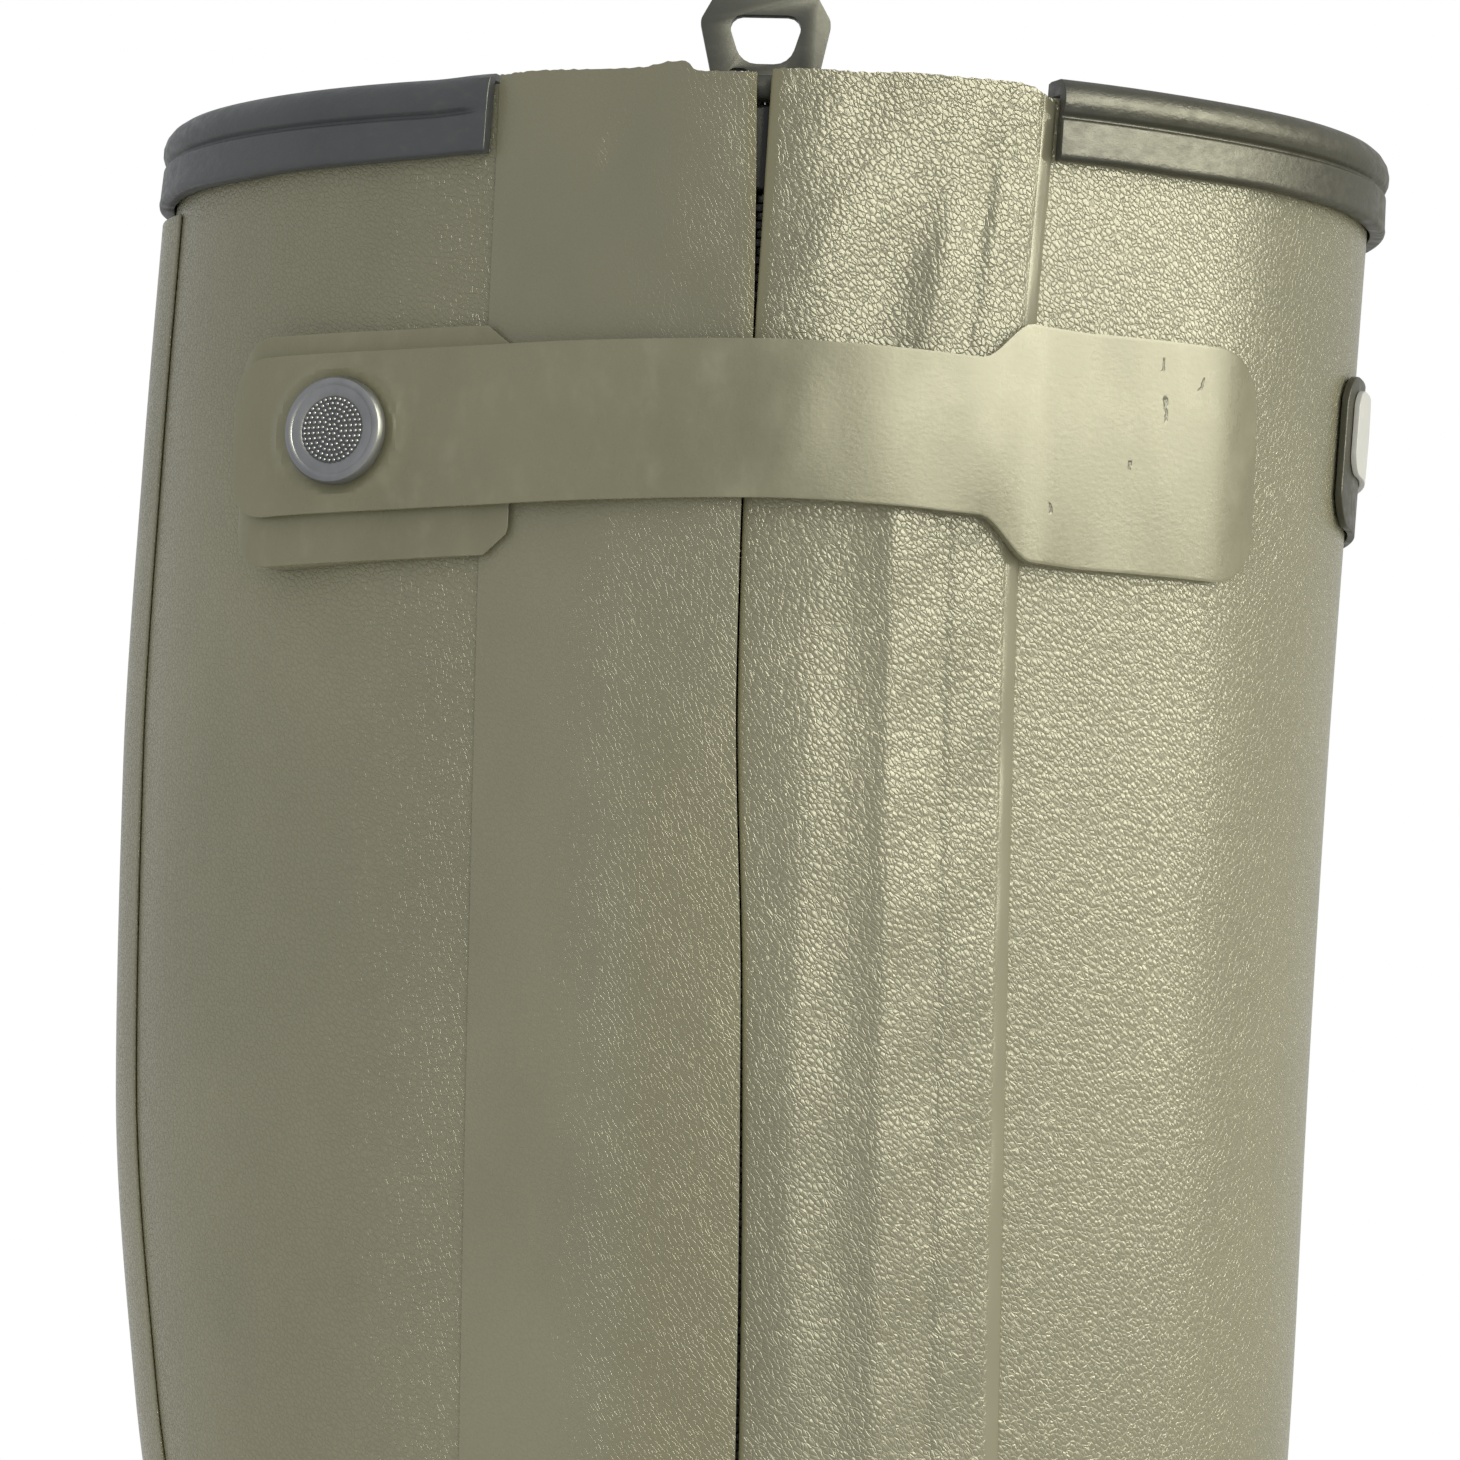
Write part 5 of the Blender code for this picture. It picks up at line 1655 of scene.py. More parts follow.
@dataclass
class Cover:
    """One of the two covers that meet over the zip."""

    side: float
    name: str
    node: str
    widths: Pairs
    folds: Pairs
    high_folds: Pairs
    edge_wave: Pairs
    creases: tuple[Crease, ...]
    foot: float = 150.0
    top: float = 401.0
    corner: float = 10.0
    opening: Pairs = (
        (150.0, 0.26), (250.0, 0.22), (300.0, 0.13), (366.0, 0.12), (384.0, 0.46), (401.0, 0.92)
    )
    blend: tuple[float, float] = (346.0, 364.0)
    inner_margin: tuple[float, float] = (0.4, 1.2)
    inner_fade: float = 0.9
    outer_margin: float = 0.0
    outer_fade: float = 0.6
    edge_round: float = 0.30
    calm: float = 0.0
    strength: float = 1.0
    bow: Pairs = (
        (150.0, 0.0), (230.0, 0.0), (285.0, 0.6), (324.0, 1.9), (347.0, 1.7), (367.0, 0.7), (401.0, 0.0)
    )
    bow_reach: float = 15.0
    columns: int = 72
    column_gather: float = 0.55
    rows: int = 150
    row_gather: float = 0.2
    foot_rows: int = 12
    foot_share: float = 0.06
    wave_from: float = 0.9
    nick: float = 0.10
    nick_rates: tuple[float, float] = (5.1, 1.9)
    nick_start: float = 0.6
    ripples: Triples = ((0.07, 0.16, 0.2), (0.05, 0.41, -0.35))
    ripple_margin: float = 4.0
    edge_width: float = 0.4
    thinnest: float = 0.15
    laid_width: float = 3.0
    calm_low: float = 0.65
    calm_span: tuple[float, float] = (335.0, 20.0)
    margin_span: tuple[float, float] = (352.0, 40.0)
    tint_span: tuple[float, float] = (345.0, 30.0)
    tint_width: float = 2.2
    tint_share: float = 0.8
    # Yellow tint low down near the zip: painted warm light where the cover's flank turns to the light
    painted_light_span: tuple[float, float] = (340.0, 40.0)
    painted_light_width: tuple[float, float] = (10.0, 9.0)
    painted_light_share: float = 0.0

    def around(self, arc: Array, height: Array) -> Array:
        """Where a place of the cover lies round the leg, with the bow of its inner edge."""
        return self.side * arc - smooth(height, self.bow) * ease(1 - arc / self.bow_reach)

    def build(self, shop: Workshop) -> None:
        """Builds the cover as a closed plate with its folds.

        Args:
            shop: Sets the pieces on the frame.
        """
        last = shop.last
        us = gathered(self.columns, self.column_gather)
        foot = np.linspace(0, self.foot_share, self.foot_rows)[:-1]
        leg = self.foot_share + (1 - self.foot_share) * gathered(self.rows, self.row_gather)
        vs = np.concatenate([foot, leg])

        def lay(u: Array, v: Array) -> tuple[Array, Array, Array]:
            """Lays out the cover.

            Args:
                u: Shares of the width.
                v: Shares of the way up.

            Returns:
                Heights, arcs from the zip and the cover's widths.
            """
            height = self.foot + (self.top - self.foot) * v
            width, inner = smooth(height, self.widths), smooth(height, self.opening)
            arc = inner + (width - inner) * u
            fast, slow = self.nick_rates
            nicks = self.nick * np.sin(arc * fast) * np.sin(arc * slow + self.nick_start)
            lift = smooth(arc, self.edge_wave) + nicks
            drawn = corner_draw(arc, float(self.widths[0][1]), self.corner)
            drawn = drawn * (arc > 0) * np.clip(1 - v / self.foot_share, 0, 1)
            near_top = ease((v - self.wave_from) / (1 - self.wave_from))
            return height + lift * near_top + drawn, arc, width

        def over(u: Array, v: Array) -> Array:
            """The outer skin, with its folds and creases.

            Args:
                u: Shares of the width.
                v: Shares of the way up.

            Returns:
                The places.
            """
            height, arc, width = lay(u, v)
            share = ease((height - self.blend[0]) / (self.blend[1] - self.blend[0]))
            reach = width / self.widths[0][1]
            low, high = smooth(arc / reach, self.folds), smooth(arc / reach, self.high_folds)
            rise = low * (1 - share) + high * share
            for crease in self.creases:
                rise = rise + crease.relief(arc, height)
            ripple = sum(size * np.sin(height * up + arc * along) for size, up, along in self.ripples)
            edge = np.minimum(arc - smooth(height, self.opening), width - arc)
            rise = rise + ripple * ease(edge / self.ripple_margin)
            rise = rise - self.edge_round * (1 - np.clip(edge / self.edge_width, 0, 1)) ** 2
            return last.on_leg(height, self.around(arc, height), np.maximum(rise, LAID + self.thinnest))

        def under(u: Array, v: Array) -> Array:
            """The inner skin, laid closer to the leg along its outer edge.

            Args:
                u: Shares of the width.
                v: Shares of the way up.

            Returns:
                The places.
            """
            height, arc, width = lay(u, v)
            laid = LAID + (GAP - LAID) * ease((width - arc) / self.laid_width)
            return last.on_leg(height, self.around(arc, height), laid)

        def mark(u: Array, v: Array) -> Array:
            """Grain that stops short of the edges, tint along the zip, and painted warm light low down near
            it.

            Args:
                u: Shares of the width.
                v: Shares of the way up.

            Returns:
                Rows of grain and tint.
            """
            height, arc, width = lay(u, v)
            inner = arc - smooth(height, self.opening)
            outer = width - arc
            start, run = self.margin_span
            below, above = self.inner_margin
            near = below + (above - below) * ease((height - start) / run)
            grain = ease((inner - near) / self.inner_fade + 0.5)
            grain = grain * ease((outer - self.outer_margin) / self.outer_fade + 0.5)
            start, run = self.calm_span
            calm = self.calm * (self.calm_low + (1 - self.calm_low) * ease((height - start) / run))
            grain = self.strength * grain * (1 - calm)
            start, run = self.tint_span
            tint = self.tint_share * (1 - ease(inner / self.tint_width)) * ease((height - start) / run)
            # Painted warm light: yellow tint low down near the zip, where the flank turns to the light
            start, run = self.painted_light_span
            low = ease((start - height) / run) * (1 - ease((inner - self.painted_light_width[0]) / self.painted_light_width[1]))
            return np.stack([grain, np.clip(tint + self.painted_light_share * low, 0, 1)], axis=1)

        made = plate(us, vs, under, over, mark)
        shop.piece(self.name, made.bm, [shop.palette.olive], [self.node], sharp=50)


@dataclass
class Covers:
    """Both covers, with the folds that each has."""

    front_folds: Pairs = (
        (0.0, 1.35), (3.1, 1.62), (7.8, 1.76), (11.0, 1.86), (14.0, 2.14), (16.2, 2.48),
        (16.8, 2.53), (17.6, 2.44), (20.4, 2.15), (21.8, 1.98), (23.0, 1.76), (24.6, 1.98),
        (25.6, 1.98), (28.6, 1.90), (30.2, 1.80), (30.6, 1.66), (32.6, 0.62), (33.0, 0.40),
    )
    front_high: Pairs = (
        (0.0, 2.05), (2.0, 2.38), (8.0, 2.22), (14.0, 2.04), (20.0, 2.12), (25.0, 2.05),
        (28.6, 1.94), (30.2, 1.82), (30.6, 1.68), (32.6, 0.62), (33.0, 0.40),
    )
    back_folds: Pairs = (
        (0.0, 2.55), (3.0, 2.46), (10.0, 2.16), (15.5, 1.97), (18.0, 1.98), (20.5, 1.90),
        (26.0, 1.45), (32.0, 0.80), (35.0, 0.30),
    )
    back_high: Pairs = (
        (0.0, 1.90), (3.0, 1.98), (10.0, 2.04), (15.5, 1.95), (18.0, 1.96), (20.5, 1.90),
        (26.0, 1.45), (32.0, 0.80), (35.0, 0.30),
    )
    front_top: Pairs = (
        (0.0, 0.0), (6.0, 0.2), (12.0, 0.05), (18.0, 0.3), (24.0, 0.1), (31.0, 0.0), (33.5, -0.5),
        (35.0, -1.1), (36.5, -1.9),
    )
    back_top: Pairs = (
        (0.0, -0.35), (4.0, -0.35), (8.2, -0.35), (9.9, 0.9), (11.8, 0.8), (15.0, 0.1),
        (20.0, -0.1), (28.0, 0.0), (34.0, -0.3),
    )

    def build(self, shop: Workshop) -> None:
        """Builds the front and the back cover.

        Args:
            shop: Sets the pieces on the frame.
        """
        Cover(
            1.0, "front_cover", "zip_flap_front", ((150.0, 33.0), (330.0, 33.4), (401.0, 37.2)),
            self.front_folds, self.front_high, self.front_top,
            (
                Crease(17.6, 377.0, 17.0, 4.9, -0.54, 13.5),
                Crease(26.8, 380.0, 18.0, 1.6, -0.52, 6.5),
                Crease(6.5, 376.0, 10.0, 5.0, 0.40, 8.0),
                Crease(22.4, 375.0, 12.0, 2.2, 0.22, 9.0),
                Crease(12.0, 395.0, 7.0, 3.0, -0.22, 24.0),
                Crease(6.5, 300.0, 30.0, 3.2, 0.32, 1.0),
                Crease(5.8, 252.0, 26.0, 3.4, 0.55, -1.0),
            ),
            outer_margin=2.4, strength=1.12,
        ).build(shop)
        Cover(
            -1.0, "back_cover", "zip_flap_back", ((150.0, 35.0), (330.0, 35.0), (401.0, 33.8)),
            self.back_folds, self.back_high, self.back_top,
            (
                Crease(17.5, 391.0, 6.0, 2.6, -0.50, -26.0),
                Crease(22.5, 389.0, 6.0, 2.2, 0.25, -20.0),
                Crease(9.0, 372.0, 4.0, 6.0, -0.20, 60.0),
            ),
            # The back cover's yellow tint low near the zip is painted warm light
            edge_round=0.0, inner_margin=(0.0, 0.0), calm=0.72, painted_light_share=0.4,
        ).build(shop)


@dataclass
class Strap:
    """Strap across the zip: bonded wide end, shoulder, band, and free end under a stud on a patch."""

    height: float = 356.6
    band: float = 19.8
    wide: float = 30.0
    back: float = -68.0
    front: float = 69.0
    shoulder: tuple[float, float] = (27.0, 34.0)
    corner: float = 5.0
    front_corner: float = 7.5
    patch_height: float = 355.0
    patch_tall: float = 28.6
    patch_start: float = -34.0
    patch_slope: float = 3.3
    patch_slope_run: float = 2.7
    patch_columns: int = 48
    patch_rows: int = 28
    patch_tail: float = 0.8
    patch_tail_span: tuple[float, float] = (64.5, 3.5)
    patch_ramp: tuple[float, float, float] = (-36.0, 1.6, 0.2)
    patch_thin: float = 0.25
    patch_clear: float = GAP * 0.6
    patch_seat: Pairs = ((30.0, 1.75), (33.0, 1.35), (35.5, 1.1), (37.5, GAP), (68.0, GAP))
    stud_arc: float = -52.4
    stud_reach: float = 3.0
    stud_radius: float = 6.8
    stud_height: float = 2.0
    ring_radius: float = 8.0
    ring_half: float = 0.75
    ring_rise: float = 0.75
    undercut: float = 0.8
    cut_from: float = 0.55
    cut_ends: tuple[float, float] = (-66.0, 24.0)
    cut_fade: float = 6.0
    crown: float = 0.10
    body: float = 1.7
    sag: Triples = ((0.10, 0.23, 0.5), (0.06, 0.51, 0.0))
    columns: int = 150
    rows: int = 30
    under_rows: Pairs = (
        (-68.0, 4.95), (-62.0, 4.2), (-53.0, 2.95), (-44.0, 2.0), (-36.0, 2.0), (-24.0, 2.8),
        (-18.0, 2.9), (0.0, 2.8), (18.0, 2.9), (24.0, 2.8), (32.0, 1.8), (37.0, 0.5), (42.0, 0.35),
        (69.0, 0.35),
    )
    thick_rows: Pairs = (
        (-68.0, 0.35), (-64.0, 1.1), (-58.0, 1.6), (-44.0, 1.7), (37.0, 1.7), (42.0, 1.6),
        (58.0, 1.3), (66.0, 0.8), (69.0, 0.3),
    )
    drop_rows: Pairs = (
        (-68.0, 0.0), (-36.0, 0.0), (-18.0, -0.15), (0.0, -0.3), (18.0, 0.5), (24.0, 0.95),
        (32.0, 1.35), (37.0, 1.7), (42.0, 2.0), (58.0, 2.0), (69.0, 1.9),
    )
    stud_steps: int = 64
    stud_joined: float = 0.002
    pip: float = 0.26
    pip_flat: float = 0.8
    pip_sunk: float = 0.14
    pip_fall: float = 0.025
    field: float = 4.3
    pip_rings: tuple[tuple[float, int], ...] = (
        (0.0, 1), (0.66, 6), (1.32, 12), (1.98, 18), (2.64, 24), (3.3, 30), (3.9, 36)
    )

    def half_height(self, arc: Array) -> Array:
        """Half the strap's height.

        Args:
            arc: Distances from the zip.

        Returns:
            The half height there.
        """
        low, high = self.shoulder
        half = (self.band + (self.wide - self.band) * ease((arc - low) / (high - low))) / 2
        half = half - corner_draw(np.minimum(arc, 0), -self.back, self.corner)
        return half - corner_draw(np.maximum(arc, 0), self.front, self.front_corner)

    def build(self, shop: Workshop) -> None:
        """Builds the strap, its patch and its stud.

        Args:
            shop: Sets the pieces on the frame.
        """
        last = shop.last
        ends = corner_steps()
        back, front = self.back + self.corner * ends, self.front - self.front_corner * ends[::-1]
        us = np.concatenate([back, np.linspace(back[-1], front[0], self.columns)[1:-1], front])
        vs = gathered(self.rows, 0.6) * 2 - 1

        def lay(u: Array, v: Array) -> Array:
            """Heights of the strap's points."""
            return self.height - smooth(u, self.drop_rows) + self.half_height(u) * v

        def under(u: Array, v: Array) -> Array:
            """The inner skin, undercut along its lower edge.

            Args:
                u: Arcs.
                v: Shares of the half height.

            Returns:
                The places.
            """
            low, high = self.cut_ends
            cut = self.undercut * ease((-v - self.cut_from) / (1 - self.cut_from))
            cut = cut * ease((high - u) / self.cut_fade) * ease((u - low) / self.cut_fade)
            return last.on_leg(lay(u, v), u, smooth(u, self.under_rows) + cut)

        def over(u: Array, v: Array) -> Array:
            """The outer skin, with a ring round the stud.

            Args:
                u: Arcs.
                v: Shares of the half height.

            Returns:
                The places.
            """
            thick = smooth(u, self.thick_rows)
            away = np.hypot(u - self.stud_arc, lay(u, v) - self.height)
            ring = self.ring_rise * np.exp(-(((away - self.ring_radius) / self.ring_half) ** 2))
            crown = 1 - self.crown * v**2 + (waves(u, self.sag) * (1 - v**2) + ring) / self.body
            return last.on_leg(lay(u, v), u, smooth(u, self.under_rows) + thick * crown)

        made = plate(us, vs, under, over)
        finishes = [shop.palette.satin]
        shop.piece("strap_band", made.bm, finishes, ["strap"], bevel=0.4, sharp=45)
        self.patch(shop)
        self.stud(shop)

    def patch(self, shop: Workshop) -> None:
        """Builds the patch, whose end slopes in towards the strap.

        Args:
            shop: Sets the pieces on the frame.
        """
        last = shop.last
        half = self.patch_tall / 2

        def lay(u: Array, v: Array) -> tuple[Array, Array]:
            """Lays out the patch.

            Args:
                u: Shares of the way to its end.
                v: Shares of the half height.

            Returns:
                Heights and arcs.
            """
            away = half * (1 - np.abs(v))
            start = self.patch_start + self.patch_slope * np.clip(away / self.patch_slope_run, 0, 1)
            arc = start + (self.back - start) * u
            drawn = corner_draw(np.minimum(arc, 0), -self.back, self.corner)
            return self.patch_height + (half - drawn) * v, arc

        def seat(arc: Array) -> Array:
            """What the patch lies on, off the leg."""
            return smooth(-arc, self.patch_seat)

        def under(u: Array, v: Array) -> Array:
            """The inner skin."""
            height, arc = lay(u, v)
            return last.on_leg(height, arc, seat(arc))

        def over(u: Array, v: Array) -> Array:
            """The outer skin, which stays under the strap.

            Args:
                u: Shares of the way to its end.
                v: Shares of the half height.

            Returns:
                The places.
            """
            height, arc = lay(u, v)
            start, run = self.patch_tail_span
            face = smooth(arc, self.under_rows) - self.patch_clear
            face = face - self.patch_tail * np.clip((-arc - start) / run, 0, 1) ** 2
            foot, high, rate = self.patch_ramp
            rise = np.minimum(face, high - (arc - foot) * rate)
            return last.on_leg(height, arc, np.maximum(rise, seat(arc) + self.patch_thin))

        us, vs = gathered(self.patch_columns), gathered(self.patch_rows, 0.6) * 2 - 1
        made = plate(us, vs, under, over)
        shop.piece("strap_base", made.bm, [shop.palette.satin], ["strap_patch"], bevel=0.2)

    def stud(self, shop: Workshop) -> None:
        """Turns the stud's cap and sets rings of small pips on its face.

        Args:
            shop: Sets the pieces on the frame.
        """
        last = shop.last
        bm = bmesh.new()
        r, h = self.stud_radius, self.stud_height
        profile = (
            (0.0, 0.0), (r - 0.5, 0.0), (r, 0.35), (r, h - 0.7), (r - 0.25, h - 0.2), (r - 0.7, h),
            (r - 1.0, h - 0.03), (r - 1.2, h - 0.18), (4.5, h - 0.14), (4.25, h - 0.30), (2.4, h - 0.20),
            (0.0, h - 0.16),
        )
        verts = [bm.verts.new((x, 0.0, z)) for x, z in profile]
        edges = [bm.edges.new(pair) for pair in zip(verts, verts[1:])]
        bmesh.ops.spin(
            bm, geom=verts + edges, cent=(0, 0, 0), axis=(0, 0, 1), angle=2 * math.pi, steps=self.stud_steps,
            use_merge=True,
        )
        bmesh.ops.remove_doubles(bm, verts=bm.verts, dist=self.stud_joined)
        for face in bm.faces:
            middle = face.calc_center_median()
            face.material_index = int(middle.z > h / 2 and middle.xy.length < self.field)
        for radius, count in self.pip_rings:
            for i in range(count):
                angle = 2 * math.pi * (i + 0.5 * (radius > 1.0)) / count
                top = h - self.pip_sunk - self.pip_fall * radius
                spot = Matrix.Translation((radius * math.cos(angle), radius * math.sin(angle), top))
                spot = spot @ Matrix.Diagonal((1, 1, self.pip_flat, 1))
                bmesh.ops.create_icosphere(bm, subdivisions=2, radius=self.pip, matrix=spot)
        bmesh.ops.recalc_face_normals(bm, faces=bm.faces)
        arcs = self.stud_arc + self.stud_reach * np.array([0.0, 1.0, -1.0, 0.0, 0.0])
        heights = self.height + self.stud_reach * np.array([0.0, 0.0, 0.0, 1.0, -1.0])
        rise = smooth(arcs, self.under_rows) + smooth(arcs, self.thick_rows)
        seat, ahead, behind, above, below = (Vector(p) for p in last.on_leg(heights, arcs, rise))
        normal = (ahead - behind).cross(above - below).normalized()
        turn = normal.to_track_quat("Z", "Y").to_matrix().to_4x4()
        place = Matrix.Translation(seat + normal * GAP * 0.5) @ turn
        bmesh.ops.transform(bm, matrix=place, verts=bm.verts)
        finishes = [shop.palette.stud, shop.palette.stud_field]
        shop.piece("press_stud", bm, finishes, ["stud_cap"], sharp=35)


@dataclass
class Zip:
    """Tapes, teeth, slider and pull tab."""

    slot_foot: float = 162.0
    reach: float = 14.0
    clear: float = 0.7
    thick: float = 1.0
    top: float = 397.95
    below: float = 6.0
    chain_above: float = 1.0
    chain_top: float = 385.75
    chain_width: float = 2.0
    chain_depth: float = 2.9
    pitch: float = 2.2
    bite: float = 0.8
    tooth_share: float = 0.49
    tape_edge: float = 0.03
    tape_columns: int = 30
    tape_rows: int = 90
    cord_arc: float = 2.6
    cord_half: float = 0.7
    cord_rise: float = 0.25
    slider_edge: float = 0.2
    tab_edge: float = 0.38

    def build(self, shop: Workshop) -> None:
        """Builds all the pieces of the zip.

        Args:
            shop: Sets the pieces on the frame.
        """
        for side, edge in ((1.0, "front"), (-1.0, "back")):
            self.tape(shop, side, edge)
            self.teeth(shop, side, edge)
        black, trim = shop.palette.teeth, shop.palette.trim
        shop.refine("zip_slider", "slider_body", black, Body.BOOT, self.slider_edge)
        shop.refine("zip_pull_tab", "pull_ring", trim, Body.PULL_TAB, self.tab_edge)

    def tape(self, shop: Workshop, side: float, edge: str) -> None:
        """Builds one tape, with a corded edge along the teeth.

        Args:
            shop: Sets the pieces on the frame.
            side: 1 for the front, -1 for the back.
            edge: The side's name.
        """
        last = shop.last
        face = -WALL - self.clear

        def skin(out: float, swell: float) -> Skin:
            """A face of the tape.

            Args:
                out: Its distance off the leg.
                swell: The rise of its cord.

            Returns:
                Its skin.
            """

            def place(u: Array, v: Array) -> Array:
                """Points of the face, by arc and height."""
                cord = swell * np.exp(-(((u - self.cord_arc) / self.cord_half) ** 2))
                return last.on_leg(v, side * u, out + cord)

            return place

        us = np.linspace(self.tape_edge, self.reach, self.tape_columns)
        vs = np.linspace(self.slot_foot - self.below, self.top, self.tape_rows)
        made = plate(us, vs, skin(face - self.thick, 0.0), skin(face, self.cord_rise))
        shop.piece(f"tape_{edge}", made.bm, [shop.palette.tape], [f"zip_tape_{edge}"])

    def teeth(self, shop: Workshop, side: float, edge: str) -> None:
        """Builds a row of teeth, set half a pitch from the other side's.

        Args:
            shop: Sets the pieces on the frame.
            side: 1 for the front, -1 for the back.
            edge: The side's name.
        """
        last = shop.last
        foot = self.slot_foot + self.chain_above
        count = int((self.chain_top - foot) / self.pitch)
        pitch = (self.chain_top - foot) / count
        heights = foot + pitch * (np.arange(count) + (0.5 if side > 0 else 0.0))
        face = -WALL - self.clear + GAP
        made = bmesh.new()
        for height in heights:
            cube = bmesh.ops.create_cube(made, size=1.0)["verts"]
            local = np.array([vert.co for vert in cube])
            arcs = -self.bite + (local[:, 0] + 0.5) * (self.chain_width + self.bite)
            out = face + (local[:, 1] + 0.5) * self.chain_depth
            up = height + (local[:, 2] + 0.5) * pitch * self.tooth_share
            for vert, place in zip(cube, last.on_leg(up, side * arcs, out).tolist()):
                vert.co = place
        bmesh.ops.recalc_face_normals(made, faces=made.faces)
        finishes = [shop.palette.teeth]
        shop.piece(f"teeth_{edge}", made, finishes, [f"zip_chain_{edge}"], bevel=0.25)


@dataclass
class Badge:
    """Plain plate on the shin, with a raised rim and a bare pale face."""

    height: float = 360.5
    half_width: float = 14.6
    half_height: float = 10.0
    corner: float = 5.0
    rise: float = 1.3
    panel: tuple[float, float, float] = (12.0, 5.6, 3.0)
    panel_up: float = 2.6
    panel_rise: float = 0.4
    panel_clear: float = GAP * 0.2
    dome: float = 0.1
    columns: int = 25
    rows: int = 14

    def plate(
        self, shop: Workshop, size: tuple[float, float, float], up: float,
        under: float, over: float, dome: float,
    ) -> bmesh.types.BMesh:
        """Builds a rounded plate on the shin.

        Args:
            shop: The workshop.
            size: Its half width, half height and corner.
            up: How far its middle lies above the badge's.
            under: Its underside off the leg.
            over: Its face off the leg.
            dome: How much the face swells.

        Returns:
            Its mesh.
        """
        last = shop.last
        width, height, corner = size

        def skin(rise: float, swell: float) -> Skin:
            """A face of the plate.

            Args:
                rise: Its distance off the leg.
                swell: How much its middle swells.

            Returns:
                Its skin.
            """

            def place(u: Array, v: Array) -> Array:
                """Points of the face.

                Args:
                    u: Arcs from the shin.
                    v: Shares of the half height.

                Returns:
                    The places.
                """
                half = height - corner_draw(u, width, corner)
                bulge = swell * (1 - (u / width) ** 2) * (1 - v**2)
                return last.on_leg(self.height + up + half * v, u, rise + bulge, Line.SHIN)

            return place

        ends = corner * corner_steps()[1:]
        middle = np.linspace(-width + corner, width - corner, self.columns)[1:-1]
        us = np.concatenate([-width + ends, middle, width - ends[::-1]])
        return plate(us, gathered(self.rows) * 2 - 1, skin(under, 0.0), skin(over, dome)).bm

    def build(self, shop: Workshop) -> None:
        """Builds the plate and its face.

        Args:
            shop: Sets the pieces on the frame.
        """
        base = self.plate(shop, (self.half_width, self.half_height, self.corner), 0.0, GAP, self.rise, 0.0)
        shop.piece("badge_base", base, [shop.palette.dark], ["badge_plate"], bevel=0.35)
        low = self.rise + self.panel_clear
        face = self.plate(shop, self.panel, self.panel_up, low, low + GAP + self.panel_rise, self.dome)
        shop.piece("badge_front", face, [shop.palette.badge], ["badge_panel"], bevel=0.25)


@dataclass
class BackStrip:
    """Raised strip down the back of the leg."""

    half: float = 11.0
    rise: float = 1.3
    crown: float = 0.72
    top: float = 390.5
    foot: float = 60.0
    columns: int = 20
    rows: int = 110

    def build(self, shop: Workshop) -> None:
        """Builds the strip on the back line.

        Args:
            shop: Sets the pieces on the frame.
        """
        last = shop.last

        def skin(rise: float, swell: float) -> Skin:
            """A face of the strip.

            Args:
                rise: Its distance off the leg.
                swell: The share that it falls at its edges.

            Returns:
                Its skin.
            """

            def place(u: Array, v: Array) -> Array:
                """Points of the face.

                Args:
                    u: Arcs from the back line.
                    v: Heights.

                Returns:
                    The places.
                """
                stations = np.interp(-v, -last.back_z, last.stations[: len(last.back_z)])
                out = rise * (1 - swell * (u / self.half) ** 2)
                return last.at_station(stations, u, out, Line.BACK)

            return place

        us = (gathered(self.columns, 0.6) * 2 - 1) * self.half
        vs = np.linspace(self.foot, self.top, self.rows)
        made = plate(us, vs, skin(LAID, 0.0), skin(GAP + self.rise, self.crown))
        shop.piece("heel_strip", made.bm, [shop.palette.olive], ["back_strip"], bevel=0.3)


# Studio


@dataclass(frozen=True)
class Lamp:
    """An upright soft box: its place round the boot, size, power and colour, and what it lights."""

    name: str
    azimuth: float
    distance: float
    foot: float
    width: float
    tall: float
    power: float
    colour: Colour
    diffuse: bool = True
    glossy: bool = True

    def build(self, target: Vector) -> None:
        """Sets the lamp up, facing the boot.

        Args:
            target: What it faces.
        """
        data = bpy.data.lights.new(self.name, "AREA")
        data.shape = "RECTANGLE"
        data.size, data.size_y = self.width, self.tall
        data.energy = self.power
        data.color = self.colour
        lamp = bpy.data.objects.new(self.name, data)
        bpy.context.scene.collection.objects.link(lamp)
        angle = math.radians(self.azimuth)
        away = Vector((math.sin(angle), -math.cos(angle), 0.0))
        lamp.location = target + away * self.distance
        lamp.location.z = self.foot + self.tall / 2
        lamp.rotation_mode = "QUATERNION"
        lamp.rotation_quaternion = away.to_track_quat("Z", "Y")
        lamp.visible_camera = False
        lamp.visible_diffuse = self.diffuse
        lamp.visible_glossy = self.glossy


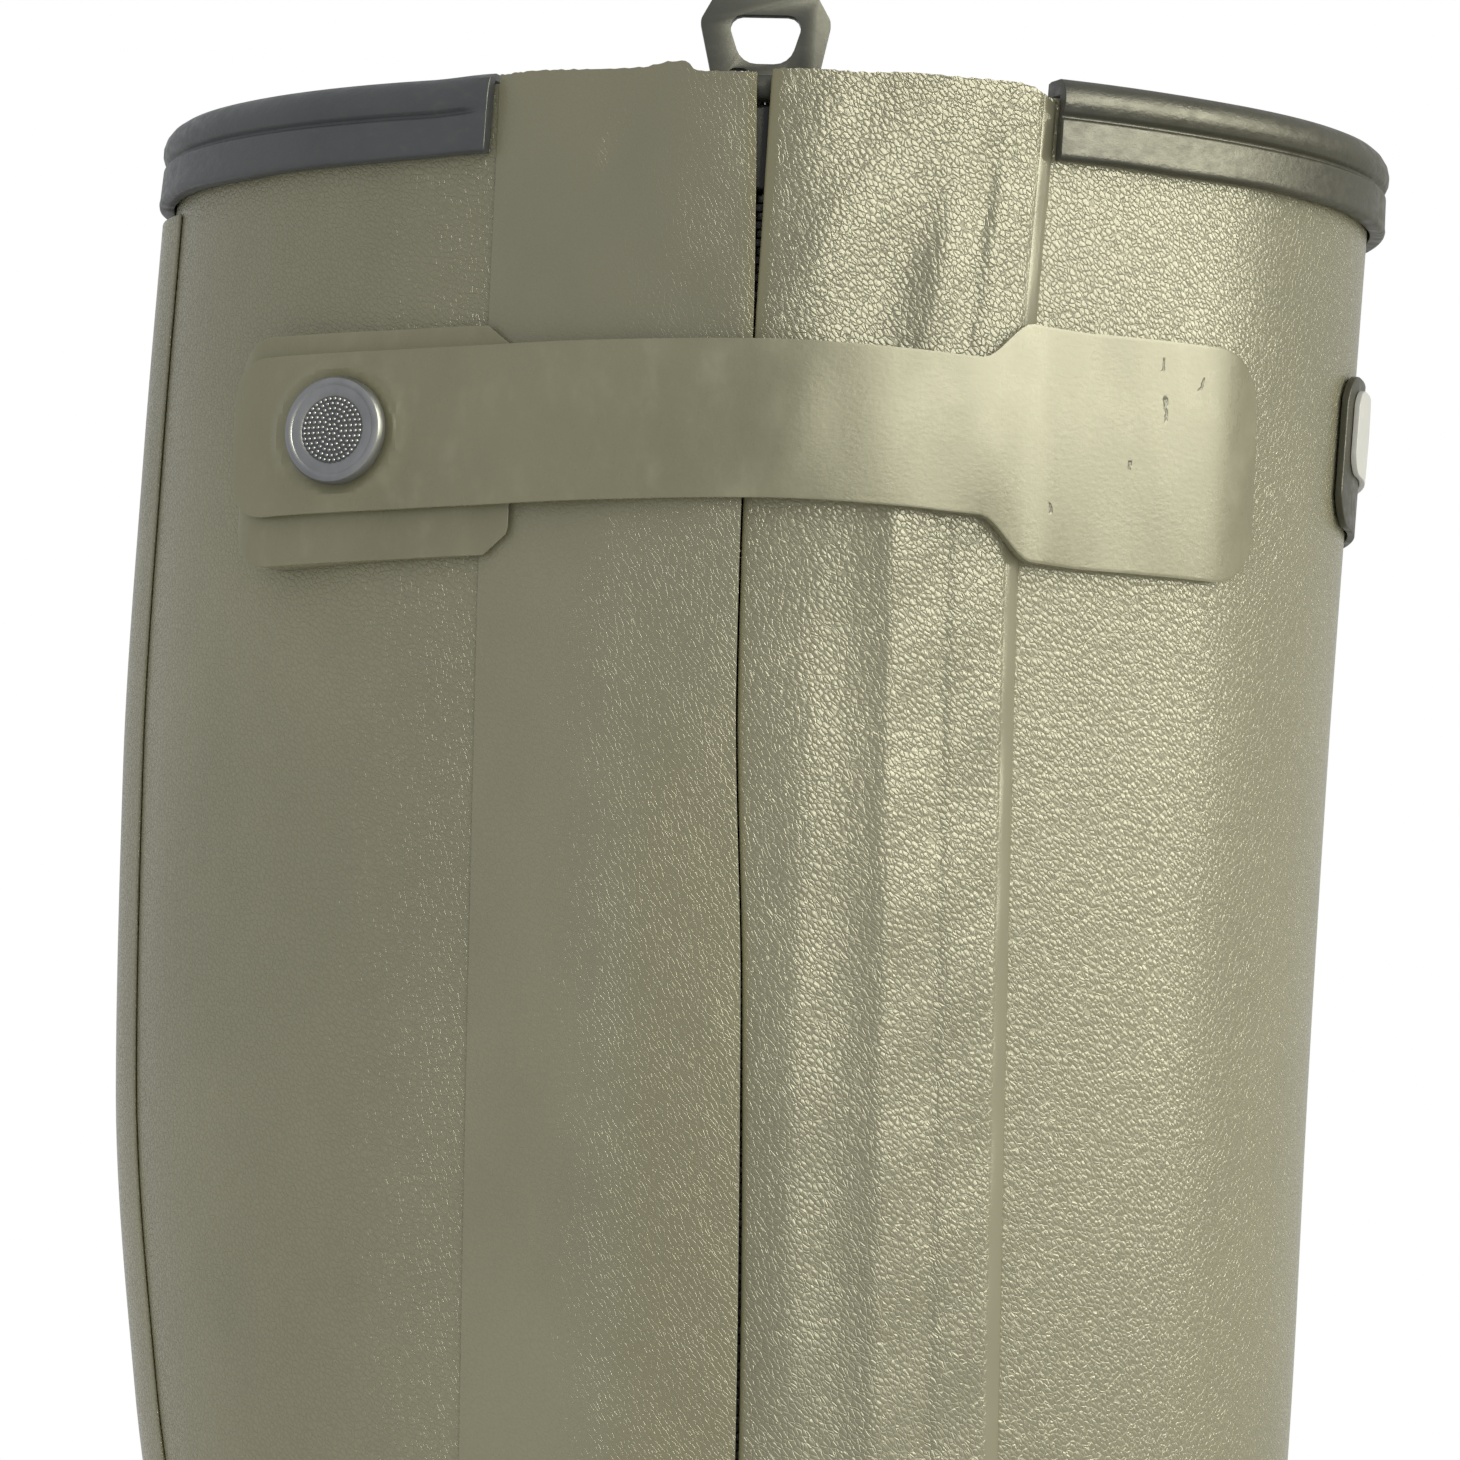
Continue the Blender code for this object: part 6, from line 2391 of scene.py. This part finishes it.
@dataclass
class Studio:
    """Pale floor, soft boxes and the camera."""

    aim: tuple[float, float, float] = (73.37, -20.0, 323.0)
    distance: float = 2.0
    camera_height: float = 0.078
    frame_width: float = 0.1848
    zoom: float = 1.001
    ambient: float = 0.62
    floor_size: float = 6.0
    floor_colours: tuple[Colour, Colour] = ((0.80, 0.80, 0.79), (0.84, 0.84, 0.83))
    floor_spread: float = 400.0
    floor_roughness: float = 0.75
    lamps: tuple[Lamp, ...] = (
        Lamp("Key box", 52.5, 1.5, 0.385, 2.3, 1.3, 146.0, (1.0, 0.965, 0.72), diffuse=False),
        Lamp("Side box", 92.0, 1.6, 0.1, 0.8, 1.4, 10.0, (1.0, 0.96, 0.78), glossy=False),
    )

    def build(self, shift: Vector) -> None:
        """Sets up floor, light and camera.

        Args:
            shift: Where the boot's own frame lies.
        """
        scene = bpy.context.scene
        scene.view_settings.view_transform = "Standard"
        self.world(scene)
        self.floor()
        aim = Vector(self.aim) * MM + shift
        for lamp in self.lamps:
            lamp.build(aim)
        data = bpy.data.cameras.new("Camera")
        camera = bpy.data.objects.new("Camera", data)
        scene.collection.objects.link(camera)
        camera.location = (aim.x, shift.y - self.distance, self.camera_height)
        view = aim - camera.location
        camera.rotation_mode = "QUATERNION"
        camera.rotation_quaternion = view.to_track_quat("-Z", "Y")
        data.lens = data.sensor_width * view.length / self.frame_width * self.zoom
        scene.camera = camera

    def world(self, scene: bpy.types.Scene) -> None:
        """White surroundings that light the boot only softly.

        Args:
            scene: The scene.
        """
        world = bpy.data.worlds.new("Studio white")
        scene.world = world
        world.use_nodes = True
        graph = Graph(world.node_tree)
        path = graph.add("ShaderNodeLightPath")
        strength = graph.span(path.outputs["Is Camera Ray"], 0.0, 1.0, self.ambient, 1.0)
        graph.fill(world.node_tree.nodes["Background"], Strength=strength, Color=(1.0, 1.0, 1.0))

    def floor(self) -> None:
        """A large pale floor."""
        bm = bmesh.new()
        bmesh.ops.create_grid(bm, x_segments=1, y_segments=1, size=self.floor_size / 2)
        mesh = bpy.data.meshes.new("studio_floor")
        bm.to_mesh(mesh)
        bm.free()
        floor = bpy.data.objects.new("studio_floor", mesh)
        bpy.context.scene.collection.objects.link(floor)
        made, graph, shader = started("Studio floor")
        tone = graph.noise(graph.coords((self.floor_spread,) * 3))
        pale = graph.mix(tone, *self.floor_colours)
        graph.fill(shader, Base_Color=pale, Roughness=self.floor_roughness)
        mesh.materials.append(made)


def main() -> None:
    """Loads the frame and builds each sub-assembly."""
    logging.basicConfig(level=logging.INFO, format="%(name)s: %(message)s")
    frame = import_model()
    shop = Workshop(Last(), frame, Palette())
    for assembly in (Upper(), Sole(), CollarBand(), Covers(), Strap(), Zip(), Badge(), BackStrip()):
        assembly.build(shop)
    Studio().build(shop.shift)


if __name__ == "__main__":
    main()
